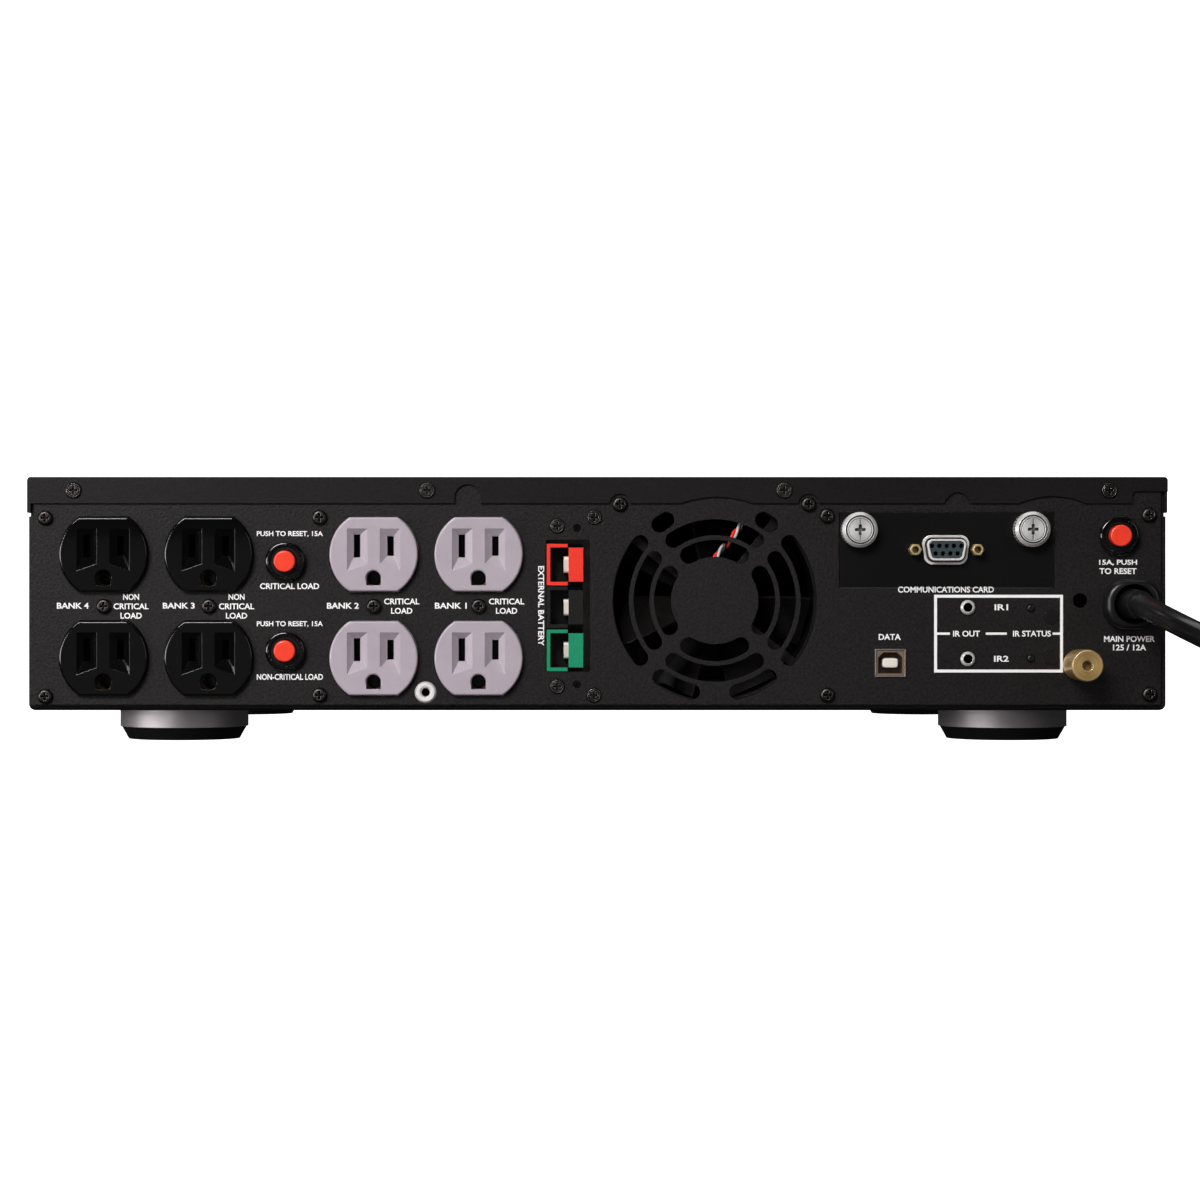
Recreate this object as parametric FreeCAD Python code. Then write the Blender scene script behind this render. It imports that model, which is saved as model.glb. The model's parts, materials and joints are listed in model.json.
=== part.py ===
"""A 2U rack-mount uninterruptible power supply on four round feet, rear panel towards -Y.

Millimetres, +Z up, X centred on the chassis, Z = 0 on the surface that the feet stand on.
Places are given as x, d (depth in from the rear panel's outer face, towards +Y)
and h (height above the underside of the chassis).
"""

import FreeCAD
import Part
import math
import os

V = FreeCAD.Vector

# ---- Driving dimensions: chassis ----
BODY_W = 432.0  # width over the cover's skirts
BODY_H = 88.5  # underside of the base pan to the top of the cover (2U)
BODY_D = 420.0  # rear panel's outer face to the front of the bezel
SHEET = 1.2  # base pan and rear panel steel
COVER_T = 1.0  # top cover steel
COVER_EDGE = 1.3  # radius of the cover's long bends
SKIRT_H = 13.5  # how far the cover's skirts hang down the sides
SKIRT_CLEAR = 0.1  # skirt to the joggled side wall
FLANGE_H = 10.0  # cover's rear flange, lapped over the panel
PAN_EDGE = 2.2  # base pan edge that shows below and beside the rear panel
BEZEL_T = 8.0  # front bezel, over all
BEZEL_WALL = 3.0
PAD_H = 5.0  # rubber pad below each foot ring
RING_H = 8.7  # aluminium foot ring
FOOT_R = 25.7
FOOT_X = 165.0
FOOT_INSET = 75.0  # foot centre in from the rear panel and from the bezel
NUT_PROUD = 20.0  # ground nut in front of the rear panel
KEY_PROUD = 1.6  # front keys in front of the bezel

BASE_Z = PAD_H + RING_H
REAR_Y = -(BODY_D + KEY_PROUD - NUT_PROUD) / 2
HALF_W = BODY_W / 2
PAN_HALF = HALF_W - 0.4
TOP_IN = BODY_H - COVER_T  # underside of the cover
PAN_END = BODY_D - BEZEL_T  # front face of the base pan

# ---- Driving dimensions: what sits in the rear panel ----
TOUCH = 0.05  # gap between pieces fixed to each other
LOOSE = 0.35  # gap round a piece that moves
OUTLET_X = [-45.0, -84.7, -147.2, -187.0]  # banks 1 to 4
OUTLET_H = 39.55  # middle of a duplex receptacle
FACE_SPACING = 39.3
FACE_R = 16.75
FACE_FLAT = 28.1
FACE_EDGE = 0.8  # radius round a face's front edge
FACE_PROUD = 3.0
FACE_CLEAR = 0.3
OUTLET_BODY_W = 34.8
OUTLET_BODY_H = 72.0
OUTLET_BODY_D = 25.0
BLADE_SPACING = 12.7
BLADE_UP = 3.15
GROUND_DOWN = 8.95
SLOTS = [(-BLADE_SPACING / 2, 2.4, 8.6), (BLADE_SPACING / 2, 2.4, 7.4)]  # across, wide, high
LEAD_IN = (3.7, 4.0, 6.6, 6.8, 9.5)  # slot's middle to its mouth: out, in, up, down inside, down outside
LEAD_DEEP = 2.2
GROUND_R = 2.75
CONTACT_D = (7.0, 19.0)

BREAKERS = [(-118.2, 56.5), (-118.2, 22.6), (197.5, 66.2)]
BUSH_R = 5.7
BUTTON_R = 4.1
BUTTON_PROUD = 6.2
RING_NUT_R = 7.6
RING_NUT_PROUD = 3.2
BREAKER_W = 13.6
BREAKER_H = 27.0
BREAKER_D = 27.0

WINDOW = (-19.5, -2.7, 14.7, 64.7)  # battery connector window: x0, x1, h0, h1
SOCKET_H = [55.3, 39.1, 22.8]  # positive, middle, negative
SOCKET_X = (-19.2, -11.2, -10.9, -5.3)  # hood from, hood to, block from, block to
HOOD_HALF = 7.9
HOOD_WALL = 1.4
BLOCK_HALF = 6.5
SOCKET_DEEP = 14.0

FAN_X = 44.5
FAN_H = 41.7
FAN_SIZE = 80.0
FAN_DEPTH = 25.4
FAN_BORE_R = 38.2
FAN_HUB_R = 16.0
FAN_FROM = 6.5  # fan frame's face behind the panel's outer face
SPOKE = 4.0
BLADES = 7
BLADE_CLEAR = 1.4  # blade tip to the fan's bore
SHAFT_R = 1.5
SHAFT_FIT = 0.05

CARD = (91.8, 173.1, 46.7, 75.1)  # card plate: x0, x1, h0, h1
CARD_GAP = 0.4
CARD_RECESS = 0.5
CARD_T = 1.2
CARD_LONG = BODY_D / 3
THUMB = [(99.0, 68.4), (164.2, 68.6)]
THUMB_R = 6.7
THUMB_LONG = 6.4  # collar, from face to plate
THUMB_SHANK_R = 1.9
SERIAL = (131.9, 60.9)
SERIAL_W = 15.6  # the connector's inner shell
SERIAL_H = 8.1
SERIAL_WALL = 0.75
SERIAL_LIP = 1.5  # raised lip round the inner shell
PIN_HOLE_R = 0.85
JACKSCREW = 11.8  # jackscrew out from the connector's middle
JACKSCREW_R = 2.4
USB = (111.0, 18.05)
USB_W = 11.7
USB_H = 10.6
BOARD_D = 14.0  # signal board behind the panel's outer face
IR_JACKS = [(140.3, 39.1), (140.3, 19.6)]
IR_BORE_R = 1.75
LAMPS = [(164.3, 38.8), (164.3, 19.7)]
LENSES = [(172.1, 35.5), (172.2, 20.0)]
GROUND_STUD = (182.2, 17.4)
STUD_R = 2.4
NUT_R = 5.95
NUT_FIT = 0.05
RIVET_NUT = (-65.1, 6.9)
RIVET_BORE_R = 1.6
RIVET_R = 2.2
VENT_HOLE = (183.0, 41.7)
VENT_HOLE_R = 2.75

RELIEF = (201.8, 40.3)
RELIEF_W = 21.0
RELIEF_H = 18.7
RELIEF_HOOD = 9.0
RELIEF_CORNER = 8.0
RELIEF_LONG = 20.0

PAN_SCREWS = [
    (-209.2, 73.0), (-105.3, 73.2), (87.0, 73.8), (209.0, 74.1),
    (-209.2, 5.4), (-105.3, 5.9), (87.1, 5.9), (209.2, 6.2),
]
FAN_SCREWS = [(8.5, 78.2), (80.0, 78.2)]
FLAT_SCREWS = [(-1.1, 73.2), (-1.3, 5.8), (-15.2, 69.9), (-15.2, 9.1)]
BRACKET_HOLES = [(-7.7, 69.2), (-7.7, 9.9)]
COVER_SCREWS = [(-198.4, 83.4), (-64.5, 83.4), (70.7, 83.4), (193.8, 83.4)]
SCREW_HEAD_R = 2.85
SCREW_SHANK_R = 1.5
HOLE_CLEAR = 0.15

# ---- Driving dimensions: front and inside ----
DISPLAY = (-50.0, 50.0, 28.0, 62.0)
POWER_KEY = (150.0, 45.0)
POWER_KEY_R = 7.0
MODE_KEY = (96.0, 45.0)
MODE_KEY_R = 4.5
BATTERY = (151.0, 94.0, 65.0)  # x, depth, height
BATTERY_GAP = 1.0
BATTERY_FROM = (-203.0, PAN_END - 2 * BATTERY[1] - BATTERY_GAP - 9.0)  # x, d
MAIN = (-196.0, 196.0, 46.0, BATTERY_FROM[1] - 14.0, 9.0)  # main board: x0, x1, d0, d1, underside
VENT_SLOTS = 14

# ---- The supply cord ----
CORD_R = 4.3
CORD_ROUTE = [  # points of the stretch between the strain relief and the coil
    (201.8, -220.8, 54.0),
    (204.2, -255.3, 49.0),
    (223.7, -283.1, 36.8),
    (254.5, -295.5, 21.9),
    (288.4, -289.5, 10.6),
    (317.0, -270.2, 4.3),
    (337.7, -247.2, 4.3),
]
COIL_MEAN_R = 48.0
COIL_PITCH = 8.8
COIL_FULL_TURNS = 4
COIL_LEAVE = 180.0  # degrees, where the last turn leaves the ring for the plug
TAIL_R = 36.0  # bend of the cord from the ring to the plug
TAIL_TURN = 150.0
PLUG_LONG = 38.0
PLUG_W = 27.0
PLUG_H = 24.0
PLUG_RELIEF = 26.0


def box(x0, x1, d0, d1, h0, h1):
    """A block between two x, two depths and two heights."""
    return Part.makeBox(x1 - x0, d1 - d0, h1 - h0, V(x0, REAR_Y + d0, BASE_Z + h0))


def rod(x, h, d0, d1, radius):
    """A cylinder along the depth."""
    return Part.makeCylinder(radius, d1 - d0, V(x, REAR_Y + d0, BASE_Z + h), V(0, 1, 0))


def cone(x, h, d0, d1, r0, r1):
    """A cone along the depth, r0 at d0 and r1 at d1."""
    return Part.makeCone(r0, r1, d1 - d0, V(x, REAR_Y + d0, BASE_Z + h), V(0, 1, 0))


def post(x, y, z0, z1, radius):
    """An upright cylinder, in model coordinates."""
    return Part.makeCylinder(radius, z1 - z0, V(x, y, z0))


def fuse(shapes):
    """One solid from several that touch or overlap."""
    return shapes[0].multiFuse(shapes[1:]).removeSplitter()


def cut(shape, tools):
    """A shape less several tools."""
    return shape.cut(Part.makeCompound(tools)) if tools else shape


def along(shape, direction, test):
    """The straight edges of a shape that run along an axis and pass a test of their middle."""
    found = []
    for edge in shape.Edges:
        if len(edge.Vertexes) != 2 or edge.Curve.TypeId != "Part::GeomLine":
            continue
        run = edge.Vertexes[1].Point - edge.Vertexes[0].Point
        if abs(abs(run.normalize().dot(direction)) - 1) < 1e-6 and test(edge.CenterOfMass):
            found.append(edge)
    return found


def rounded(x0, x1, d0, d1, h0, h1, radius):
    """A block with its four edges along the depth rounded."""
    block = box(x0, x1, d0, d1, h0, h1)
    return block.makeFillet(radius, along(block, V(0, 1, 0), lambda p: True))


def save(name, shape):
    """Write one node, whether it is one solid or a list of separate ones."""
    whole = Part.makeCompound(shape) if isinstance(shape, list) else shape
    if not whole.isValid():
        print("not valid:", name)
    whole.exportStep(f"parts/{name}.step")


# ---- Receptacle faces ----
def face_outline(x, h, d0, d1, grow=0.0):
    """A receptacle face: a circle with its top and bottom cut flat."""
    r = FACE_R + grow
    flat = FACE_FLAT / 2 + grow
    return rod(x, h, d0, d1, r).common(box(x - r, x + r, d0, d1, h - flat, h + flat))


def face_heights():
    """The heights of a duplex receptacle's two faces."""
    return [OUTLET_H + FACE_SPACING / 2, OUTLET_H - FACE_SPACING / 2]


def funnel(x, h, wide, high, mouth, depth):
    """A lead-in that narrows from its mouth on the face of a receptacle to a slot."""
    def ring(d, corners):
        points = [V(x + a, REAR_Y + d, BASE_Z + h + b) for a, b in corners]
        return Part.makePolygon(points + points[:1])

    a, b = wide / 2, high / 2
    front = ring(-FACE_PROUD - 0.01, mouth)
    back = ring(-FACE_PROUD + depth, [(-a, -b), (a, -b), (a, b), (-a, b)])
    return Part.makeLoft([front, back], True, True)


def slot_mouth(across):
    """The corners of a blade slot's mouth, about the slot's middle; the outer foot is the lowest."""
    out, inward, up, down, outer_down = LEAD_IN
    if across < 0:
        return [(-out, -outer_down), (inward, -down), (inward, up), (-out, up)]
    return [(-inward, -down), (out, -outer_down), (out, up), (-inward, up)]


def outlet(x):
    """One duplex receptacle with its blade and ground openings."""
    body = box(x - OUTLET_BODY_W / 2, x + OUTLET_BODY_W / 2, SHEET + TOUCH, OUTLET_BODY_D,
               OUTLET_H - OUTLET_BODY_H / 2, OUTLET_H + OUTLET_BODY_H / 2)
    faces = []
    tools = []
    room = (CONTACT_D[0] - 0.5, CONTACT_D[1] + 1)
    for h in face_heights():
        face = face_outline(x, h, -FACE_PROUD, SHEET + 1)
        front = [e for e in face.Edges if abs(e.CenterOfMass.y - REAR_Y + FACE_PROUD) < 1e-6]
        faces.append(face.makeFillet(FACE_EDGE, front))
        for across, wide, high in SLOTS:
            sx, sh = x + across, h + BLADE_UP
            half_w, half_h = wide / 2, high / 2
            tools.append(box(sx - half_w, sx + half_w, -FACE_PROUD - 1, 16, sh - half_h, sh + half_h))
            tools.append(funnel(sx, sh, wide, high, slot_mouth(across), LEAD_DEEP))
            tools.append(box(sx - 2.3, sx + 2.3, room[0], room[1], sh - 5.2, sh + 5.2))
        gh = h - GROUND_DOWN
        tools.append(rod(x, gh, -FACE_PROUD - 1, 16, GROUND_R))
        tools.append(box(x - GROUND_R, x + GROUND_R, -FACE_PROUD - 1, 16, gh - GROUND_R, gh))
        tools.append(cone(x, gh, -FACE_PROUD - 0.01, -FACE_PROUD + 0.5, GROUND_R + 0.5, GROUND_R))
        tools.append(rod(x, gh, room[0], room[1], 3.6))
    tools.append(rod(x, OUTLET_H, 0, OUTLET_BODY_D + 1, SCREW_SHANK_R + HOLE_CLEAR))
    return cut(fuse([body] + faces), tools)


def outlet_contacts(x):
    """Brass leaves beside each blade slot and a sleeve behind each ground opening."""
    leaves = []
    d0, d1 = CONTACT_D
    for h in face_heights():
        for across, wide, high in SLOTS:
            sx, sh = x + across, h + BLADE_UP
            for side in (-1, 1):
                near = sx + side * (wide / 2 + 0.15)
                far = sx + side * 2.25
                leaves.append(box(min(near, far), max(near, far), d0, d1, sh - 4.2, sh + 4.2))
        sleeve = rod(x, h - GROUND_DOWN, d0, d1, 3.55)
        leaves.append(sleeve.cut(rod(x, h - GROUND_DOWN, d0 - 1, d1 + 1, GROUND_R + TOUCH)))
    return leaves


# ---- Screws ----
def cross(x, h, d0, d1, long):
    """The recess of a cross-head driver."""
    half = long / 2
    wide = long / 7
    flat = box(x - half, x + half, d0, d1, h - wide, h + wide)
    return [flat, box(x - wide, x + wide, d0, d1, h - half, h + half)]


def pan_screw(x, h, seat, length, head_r=SCREW_HEAD_R, proud=1.9):
    """A domed cross-head screw whose head sits on depth seat."""
    head = rod(x, h, seat - proud, seat, head_r)
    rim = [e for e in head.Edges if abs(e.CenterOfMass.y - REAR_Y - seat + proud) < 1e-6]
    head = head.makeFillet(proud * 0.6, rim)
    shank = rod(x, h, seat - 0.2, seat + length, SCREW_SHANK_R)
    return cut(fuse([head, shank]), cross(x, h, seat - proud - 1, seat - proud + 1.2, 3.2))


def flat_screw(x, h, seat, length, head_r=3.2):
    """A flat cross-head screw with a turned ring round its head."""
    head = cone(x, h, seat - 1.0, seat, head_r - 0.5, head_r)
    groove = rod(x, h, seat - 2, seat - 0.75, head_r - 0.8)
    groove = groove.cut(rod(x, h, seat - 2, seat - 0.7, head_r - 1.1))
    shank = rod(x, h, seat - 0.2, seat + length, SCREW_SHANK_R)
    return cut(fuse([head, shank]), [groove] + cross(x, h, seat - 2, seat - 0.2, 3.0))


# ---- Rear panel ----
def ring_slot(mid, wide, start, end, d0, d1):
    """A slot along an arc about the fan's axis; start and end are the centres of its round ends."""
    inner, outer = mid - wide / 2, mid + wide / 2

    def at(radius, degrees):
        turn = math.radians(degrees)
        return V(FAN_X + radius * math.cos(turn), REAR_Y + d0, BASE_Z + FAN_H + radius * math.sin(turn))

    def cap(degrees, out):
        centre = at(mid, degrees)
        turn = math.radians(degrees + 90 * out)
        return centre + V(math.cos(turn), 0, math.sin(turn)) * (wide / 2)

    half = (start + end) / 2
    edges = [
        Part.Arc(at(outer, start), at(outer, half), at(outer, end)).toShape(),
        Part.Arc(at(outer, end), cap(end, 1), at(inner, end)).toShape(),
        Part.Arc(at(inner, end), at(inner, half), at(inner, start)).toShape(),
        Part.Arc(at(inner, start), cap(start, -1), at(outer, start)).toShape(),
    ]
    return Part.Face(Part.Wire(edges)).extrude(V(0, d1 - d0, 0))


def grille_slots():
    """The fan grille: three rings of slots, with four diagonal spokes between them."""
    slots = []
    for middle in (0, 90, 180, 270):
        slots.append(ring_slot(19.8, 6.4, middle - 30.0, middle + 30.0, -1, SHEET + 1))
        slots.append(ring_slot(27.8, 6.0, middle - 34.4, middle + 34.4, -1, SHEET + 1))
    for middle in (0, 180):
        slots.append(ring_slot(35.65, 6.1, middle - 37.6, middle + 37.6, -1, SHEET + 1))
    for start, end in ((54.0, 59.0), (121.0, 126.0), (234.9, 256.0), (284.0, 305.1)):
        slots.append(ring_slot(35.65, 6.1, start, end, -1, SHEET + 1))
    return slots


def all_screws():
    """Every place where a screw passes through the rear panel, the receptacles' apart."""
    return PAN_SCREWS + FAN_SCREWS + FLAT_SCREWS + COVER_SCREWS


def rear_panel():
    """The flat rear panel with every opening of what it carries."""
    half = HALF_W - PAN_EDGE - 0.2
    d0, d1 = -1, SHEET + 1
    plate = rounded(-half, half, 0, SHEET, PAN_EDGE, TOP_IN - TOUCH, 1.0)
    tools = grille_slots()
    for x in OUTLET_X:
        tools += [face_outline(x, h, d0, d1, FACE_CLEAR) for h in face_heights()]
        tools.append(rod(x, OUTLET_H, d0, d1, SCREW_SHANK_R + HOLE_CLEAR))
    for x, h in BREAKERS:
        tools.append(rod(x, h, d0, d1, BUSH_R + TOUCH))
    tools.append(rounded(WINDOW[0], WINDOW[1], d0, d1, WINDOW[2], WINDOW[3], 0.8))
    tools.append(rounded(CARD[0] - CARD_GAP, CARD[1] + CARD_GAP, d0, d1,
                         CARD[2] - CARD_GAP, CARD[3] + CARD_GAP, 0.8))
    tools.append(box(USB[0] - USB_W / 2 - TOUCH, USB[0] + USB_W / 2 + TOUCH, d0, d1,
                     USB[1] - USB_H / 2 - TOUCH, USB[1] + USB_H / 2 + TOUCH))
    round_holes = [(p, 2.8 + TOUCH) for p in IR_JACKS] + [(p, 1.5 + TOUCH) for p in LAMPS]
    round_holes += [(p, 2.75 + TOUCH) for p in LENSES] + [(GROUND_STUD, STUD_R + TOUCH)]
    round_holes += [(RIVET_NUT, RIVET_R + TOUCH), (VENT_HOLE, VENT_HOLE_R), (RELIEF, 8.0 + TOUCH)]
    round_holes += [(p, SCREW_SHANK_R + HOLE_CLEAR) for p in all_screws()]
    round_holes += [(p, 1.5) for p in BRACKET_HOLES]
    tools += [rod(p[0], p[1], d0, d1, r) for p, r in round_holes]
    return cut(plate, tools)


# ---- Chassis ----
def base_pan():
    """The base pan: floor, joggled side walls, return flanges at the rear and a front wall."""
    upper_half = HALF_W - COVER_T - SKIRT_CLEAR
    top = TOP_IN - 2.0
    joggle = BODY_H - SKIRT_H - 1.4
    d0 = SHEET + TOUCH

    def tub(inset, floor, h1, ends, radius):
        block = box(-PAN_HALF + inset, PAN_HALF - inset, d0 + ends, PAN_END - ends, floor, h1)
        corners = along(block, V(0, 1, 0), lambda p: p.z < BASE_Z + floor + 1)
        corners += along(block, V(1, 0, 0), lambda p: p.z < BASE_Z + floor + 1 and p.y < 0)
        return block.makeFillet(radius, corners)

    lower = tub(0, 0, joggle, 0, 2.4).cut(tub(SHEET, SHEET, joggle + 1, SHEET, 1.2))
    inner = upper_half - SHEET
    upper = box(-upper_half, upper_half, d0, PAN_END, joggle - 1.2, top)
    upper = upper.cut(box(-inner, inner, d0 + SHEET, PAN_END - SHEET, joggle - 2, top + 1))
    lip_x = 206.4
    tools = [box(-lip_x, lip_x, d0 - 1, d0 + SHEET + TOUCH, 11.0, top + 1)]
    tabs = [(-lip_x, -111.0), (-103.0, lip_x)]
    tools += [box(a, b, d0 - 1, d0 + SHEET + TOUCH, 3.0, 12.0) for a, b in tabs]
    tools += [rod(x, h, 0, 4, SCREW_SHANK_R + HOLE_CLEAR) for x, h in PAN_SCREWS]
    tools.append(box(RELIEF[0] - 12, RELIEF[0] + 11.4, d0 - 1, d0 + SHEET + TOUCH,
                     RELIEF[1] - 12, RELIEF[1] + 12))
    tools.append(box(-200, 200, PAN_END - SHEET - 1, PAN_END + 1, 12, top - 8))
    for side in (-1, 1):
        for k in range(VENT_SLOTS):
            d = 90.0 + 9.0 * k
            middle = side * PAN_HALF
            tools.append(box(middle - 3, middle + 3, d, d + 3.0, 22.0, 52.0))
        for d, h in ear_holes():
            start = V(side * (PAN_HALF + 1), REAR_Y + d, BASE_Z + h)
            tools.append(Part.makeCylinder(1.65, 6, start, V(-side, 0, 0)))
    pan = fuse([lower, upper])
    for fx, fy in foot_places():
        tools.append(post(fx, fy, BASE_Z - 1, BASE_Z + 3, 2.1))
    return cut(pan, tools)


def ear_holes():
    """Depth and height of the tapped holes for rack ears on each side."""
    return [(PAN_END - 14, 22.0), (PAN_END - 14, 60.0), (PAN_END - 46, 22.0), (PAN_END - 46, 60.0)]


def foot_places():
    """The centres of the four feet."""
    front = REAR_Y + BODY_D - FOOT_INSET
    rear = REAR_Y + FOOT_INSET
    return [(-FOOT_X, rear), (FOOT_X, rear), (-FOOT_X, front), (FOOT_X, front)]


def top_cover():
    """The cover: a flat top, two skirts and a rear flange notched round what it would foul."""
    d0 = -COVER_T - TOUCH
    low = BODY_H - FLANGE_H
    block = box(-HALF_W, HALF_W, d0, PAN_END, BODY_H - SKIRT_H, BODY_H)
    block = block.makeFillet(COVER_EDGE, along(block, V(0, 1, 0), lambda p: p.z > BASE_Z + BODY_H - 1))
    hollow = box(-HALF_W + COVER_T, HALF_W - COVER_T, -TOUCH, PAN_END + 1, 0, BODY_H - COVER_T)
    upper = along(hollow, V(0, 1, 0), lambda p: p.z > BASE_Z + BODY_H - 2)
    hollow = hollow.makeFillet(COVER_EDGE - 0.6, upper)
    below = box(-HALF_W + COVER_T + 0.4, HALF_W - COVER_T - 0.4, d0 - 1, 0, 0, low)
    tools = [hollow, below]
    for x, half, high in ((-49.2, 4.85, 7.2), (136.4, 4.7, 4.2)):
        top = low + high - half if high > half else low
        tools.append(rod(x, top, d0 - 1, 0, half if high > half else high))
        tools.append(box(x - half, x + half, d0 - 1, 0, low - 1, top if high > half else low + 1.5))
    for x, h in FAN_SCREWS:
        tools.append(rod(x, h, d0 - 1, 0, SCREW_HEAD_R + 1.1))
    for x, half, high in ((45.2, 13.8, 2.4), (172.3, 12.7, 2.7)):
        radius = (half * half + high * high) / (2 * high)
        arc = rod(x, low + high - radius, d0 - 1, 0, radius)
        tools.append(arc.common(box(x - half, x + half, d0 - 1, 0, low - 1, low + 4)))
    tools.append(rounded(202.6, HALF_W + 5, d0 - 1, 0, low - 4, low + 4.5, 1.5))
    for x, h in COVER_SCREWS:
        tools.append(rod(x, h, d0 - 1, 1, SCREW_SHANK_R + HOLE_CLEAR))
    return cut(block, tools)


def feet():
    """Aluminium rings, rubber pads below them and the screws that hold both."""
    rings, pads, screws = [], [], []
    for fx, fy in foot_places():
        ring = post(fx, fy, PAD_H, BASE_Z, FOOT_R).cut(post(fx, fy, PAD_H - 1, BASE_Z - 2.0, FOOT_R - 2.4))
        rings.append(ring.cut(post(fx, fy, 0, BASE_Z + 1, 2.1)))
        pad = Part.makeCone(FOOT_R - 3.4, FOOT_R - 0.6, PAD_H, V(fx, fy, 0))
        pad = pad.fuse(post(fx, fy, PAD_H - 0.01, BASE_Z - 2.0 - TOUCH, FOOT_R - 2.4 - TOUCH))
        pad = pad.cut(post(fx, fy, -1, 4.2, 5.0)).cut(post(fx, fy, 0, BASE_Z, 2.1))
        pads.append(pad.removeSplitter())
        head = post(fx, fy, 1.8, 4.2, 4.0)
        screws.append(head.fuse(post(fx, fy, 4.0, BASE_Z + SHEET, 2.0)).removeSplitter())
    return rings, pads, screws


# ---- Breakers ----
def breaker(x, h):
    """A thermal breaker: case behind the panel and threaded bush through it."""
    case = box(x - BREAKER_W / 2, x + BREAKER_W / 2, SHEET + TOUCH, BREAKER_D,
               h - BREAKER_H / 2, h + BREAKER_H / 2)
    bush = rod(x, h, -RING_NUT_PROUD + 1.2, SHEET + 1, BUSH_R)
    return cut(fuse([case, bush]), [rod(x, h, -8, 20, BUTTON_R + LOOSE)])


def ring_nut(x, h):
    """The breaker's round nut, with driver notches round its face."""
    body = rod(x, h, -RING_NUT_PROUD, 0, RING_NUT_R)
    rim = [e for e in body.Edges if abs(e.CenterOfMass.y - REAR_Y + RING_NUT_PROUD) < 1e-6]
    body = body.makeFillet(1.1, rim)
    tools = [rod(x, h, -RING_NUT_PROUD - 1, 1, BUSH_R + TOUCH)]
    for k in range(24):
        notch = box(x + BUSH_R, x + RING_NUT_R - 1.0, -RING_NUT_PROUD - 1, -RING_NUT_PROUD + 0.5,
                    h - 0.25, h + 0.25)
        notch.rotate(V(x, REAR_Y, BASE_Z + h), V(0, 1, 0), 15.0 * k)
        tools.append(notch)
    return cut(body, tools)


def reset_button(x, h):
    """The breaker's push button, sliding in its bush."""
    body = rod(x, h, -BUTTON_PROUD, 14.0, BUTTON_R)
    rim = [e for e in body.Edges if abs(e.CenterOfMass.y - REAR_Y + BUTTON_PROUD) < 1e-6]
    return body.makeFillet(0.7, rim)


# ---- Battery connectors ----
def battery_socket(h):
    """One connector housing: an open hood beside a solid key block."""
    x0, x1, x2, x3 = SOCKET_X
    hood = box(x0, x1, 0, SOCKET_DEEP, h - HOOD_HALF, h + HOOD_HALF)
    hood = hood.cut(box(x0 + HOOD_WALL, x1 + 1, -1, SOCKET_DEEP,
                        h - HOOD_HALF + HOOD_WALL, h + HOOD_HALF - HOOD_WALL))
    block = box(x2, x3, 0.2, SOCKET_DEEP, h - BLOCK_HALF, h + BLOCK_HALF)
    rear = box(x0, x3, SOCKET_DEEP, 38.0, h - HOOD_HALF, h + HOOD_HALF)
    return cut(fuse([hood, block, rear]), [socket_contact(h, TOUCH)])


def socket_contact(h, grow=0.0):
    """The silvered contact tongue of one connector."""
    block = box(-12.7 - grow, -10.3 + grow, 1.5 - grow, 34.0 + grow, h - 3.2 - grow, h + 3.2 + grow)
    edges = along(block, V(1, 0, 0), lambda p: p.y < REAR_Y + 3)
    return block.makeFillet(1.0, edges)


def battery_bracket():
    """The sheet bracket that holds the three connector housings behind their window."""
    left, right = -23.0, -4.5
    d0 = SHEET + TOUCH
    parts = [
        box(left, right, d0, d0 + SHEET, 65.6, 74.0),
        box(left, right, d0, d0 + SHEET, 5.0, 14.0),
        box(left, left + SHEET, d0, 26.0, 5.0, 74.0),
        box(left, -1.0, 24.8, 26.0, 5.0, 74.0),
    ]
    tools = [rod(x, h, 0, 4, SCREW_SHANK_R + HOLE_CLEAR) for x, h in FLAT_SCREWS]
    tools += [rod(x, h, 0, 4, 1.5) for x, h in BRACKET_HOLES]
    for h in SOCKET_H:
        tools.append(box(SOCKET_X[0] - TOUCH, SOCKET_X[3] + TOUCH, 20, 30,
                         h - HOOD_HALF - TOUCH, h + HOOD_HALF + TOUCH))
    return cut(fuse(parts), tools)


# ---- Fan ----
def fan_bracket():
    """The plate behind the grille that carries the fan on four bent ears."""
    d0 = SHEET + TOUCH
    low, high = 3.2, 81.6
    parts = [box(1.0, 88.0, d0, d0 + SHEET, low, high)]
    for x, h in ((-1.1, 73.2), (87.0, 73.8), (-1.3, 5.8), (87.1, 5.9)):
        parts.append(box(min(x - 3.0, 40), max(x + 2.6, 41), d0, d0 + SHEET, max(h - 4.2, low), h + 4.2))
    slab = box(-10, 100, d0, FAN_FROM, low, high)
    parts += [rod(x, h, d0, FAN_FROM, 3.6).common(slab) for x, h in fan_corners()]
    tools = [rod(FAN_X, FAN_H, 0, FAN_FROM + 1, FAN_BORE_R + 0.6)]
    holes = PAN_SCREWS + FLAT_SCREWS + fan_corners()
    tools += [rod(x, h, 0, FAN_FROM + 1, SCREW_SHANK_R + HOLE_CLEAR) for x, h in holes]
    return cut(fuse(parts), tools)


def fan_corners():
    """The fan's mounting holes: the upper two are screwed through the panel."""
    low = FAN_H - FAN_SIZE / 2 + 4.25
    return FAN_SCREWS + [(x, low) for x, h in FAN_SCREWS]


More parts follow.
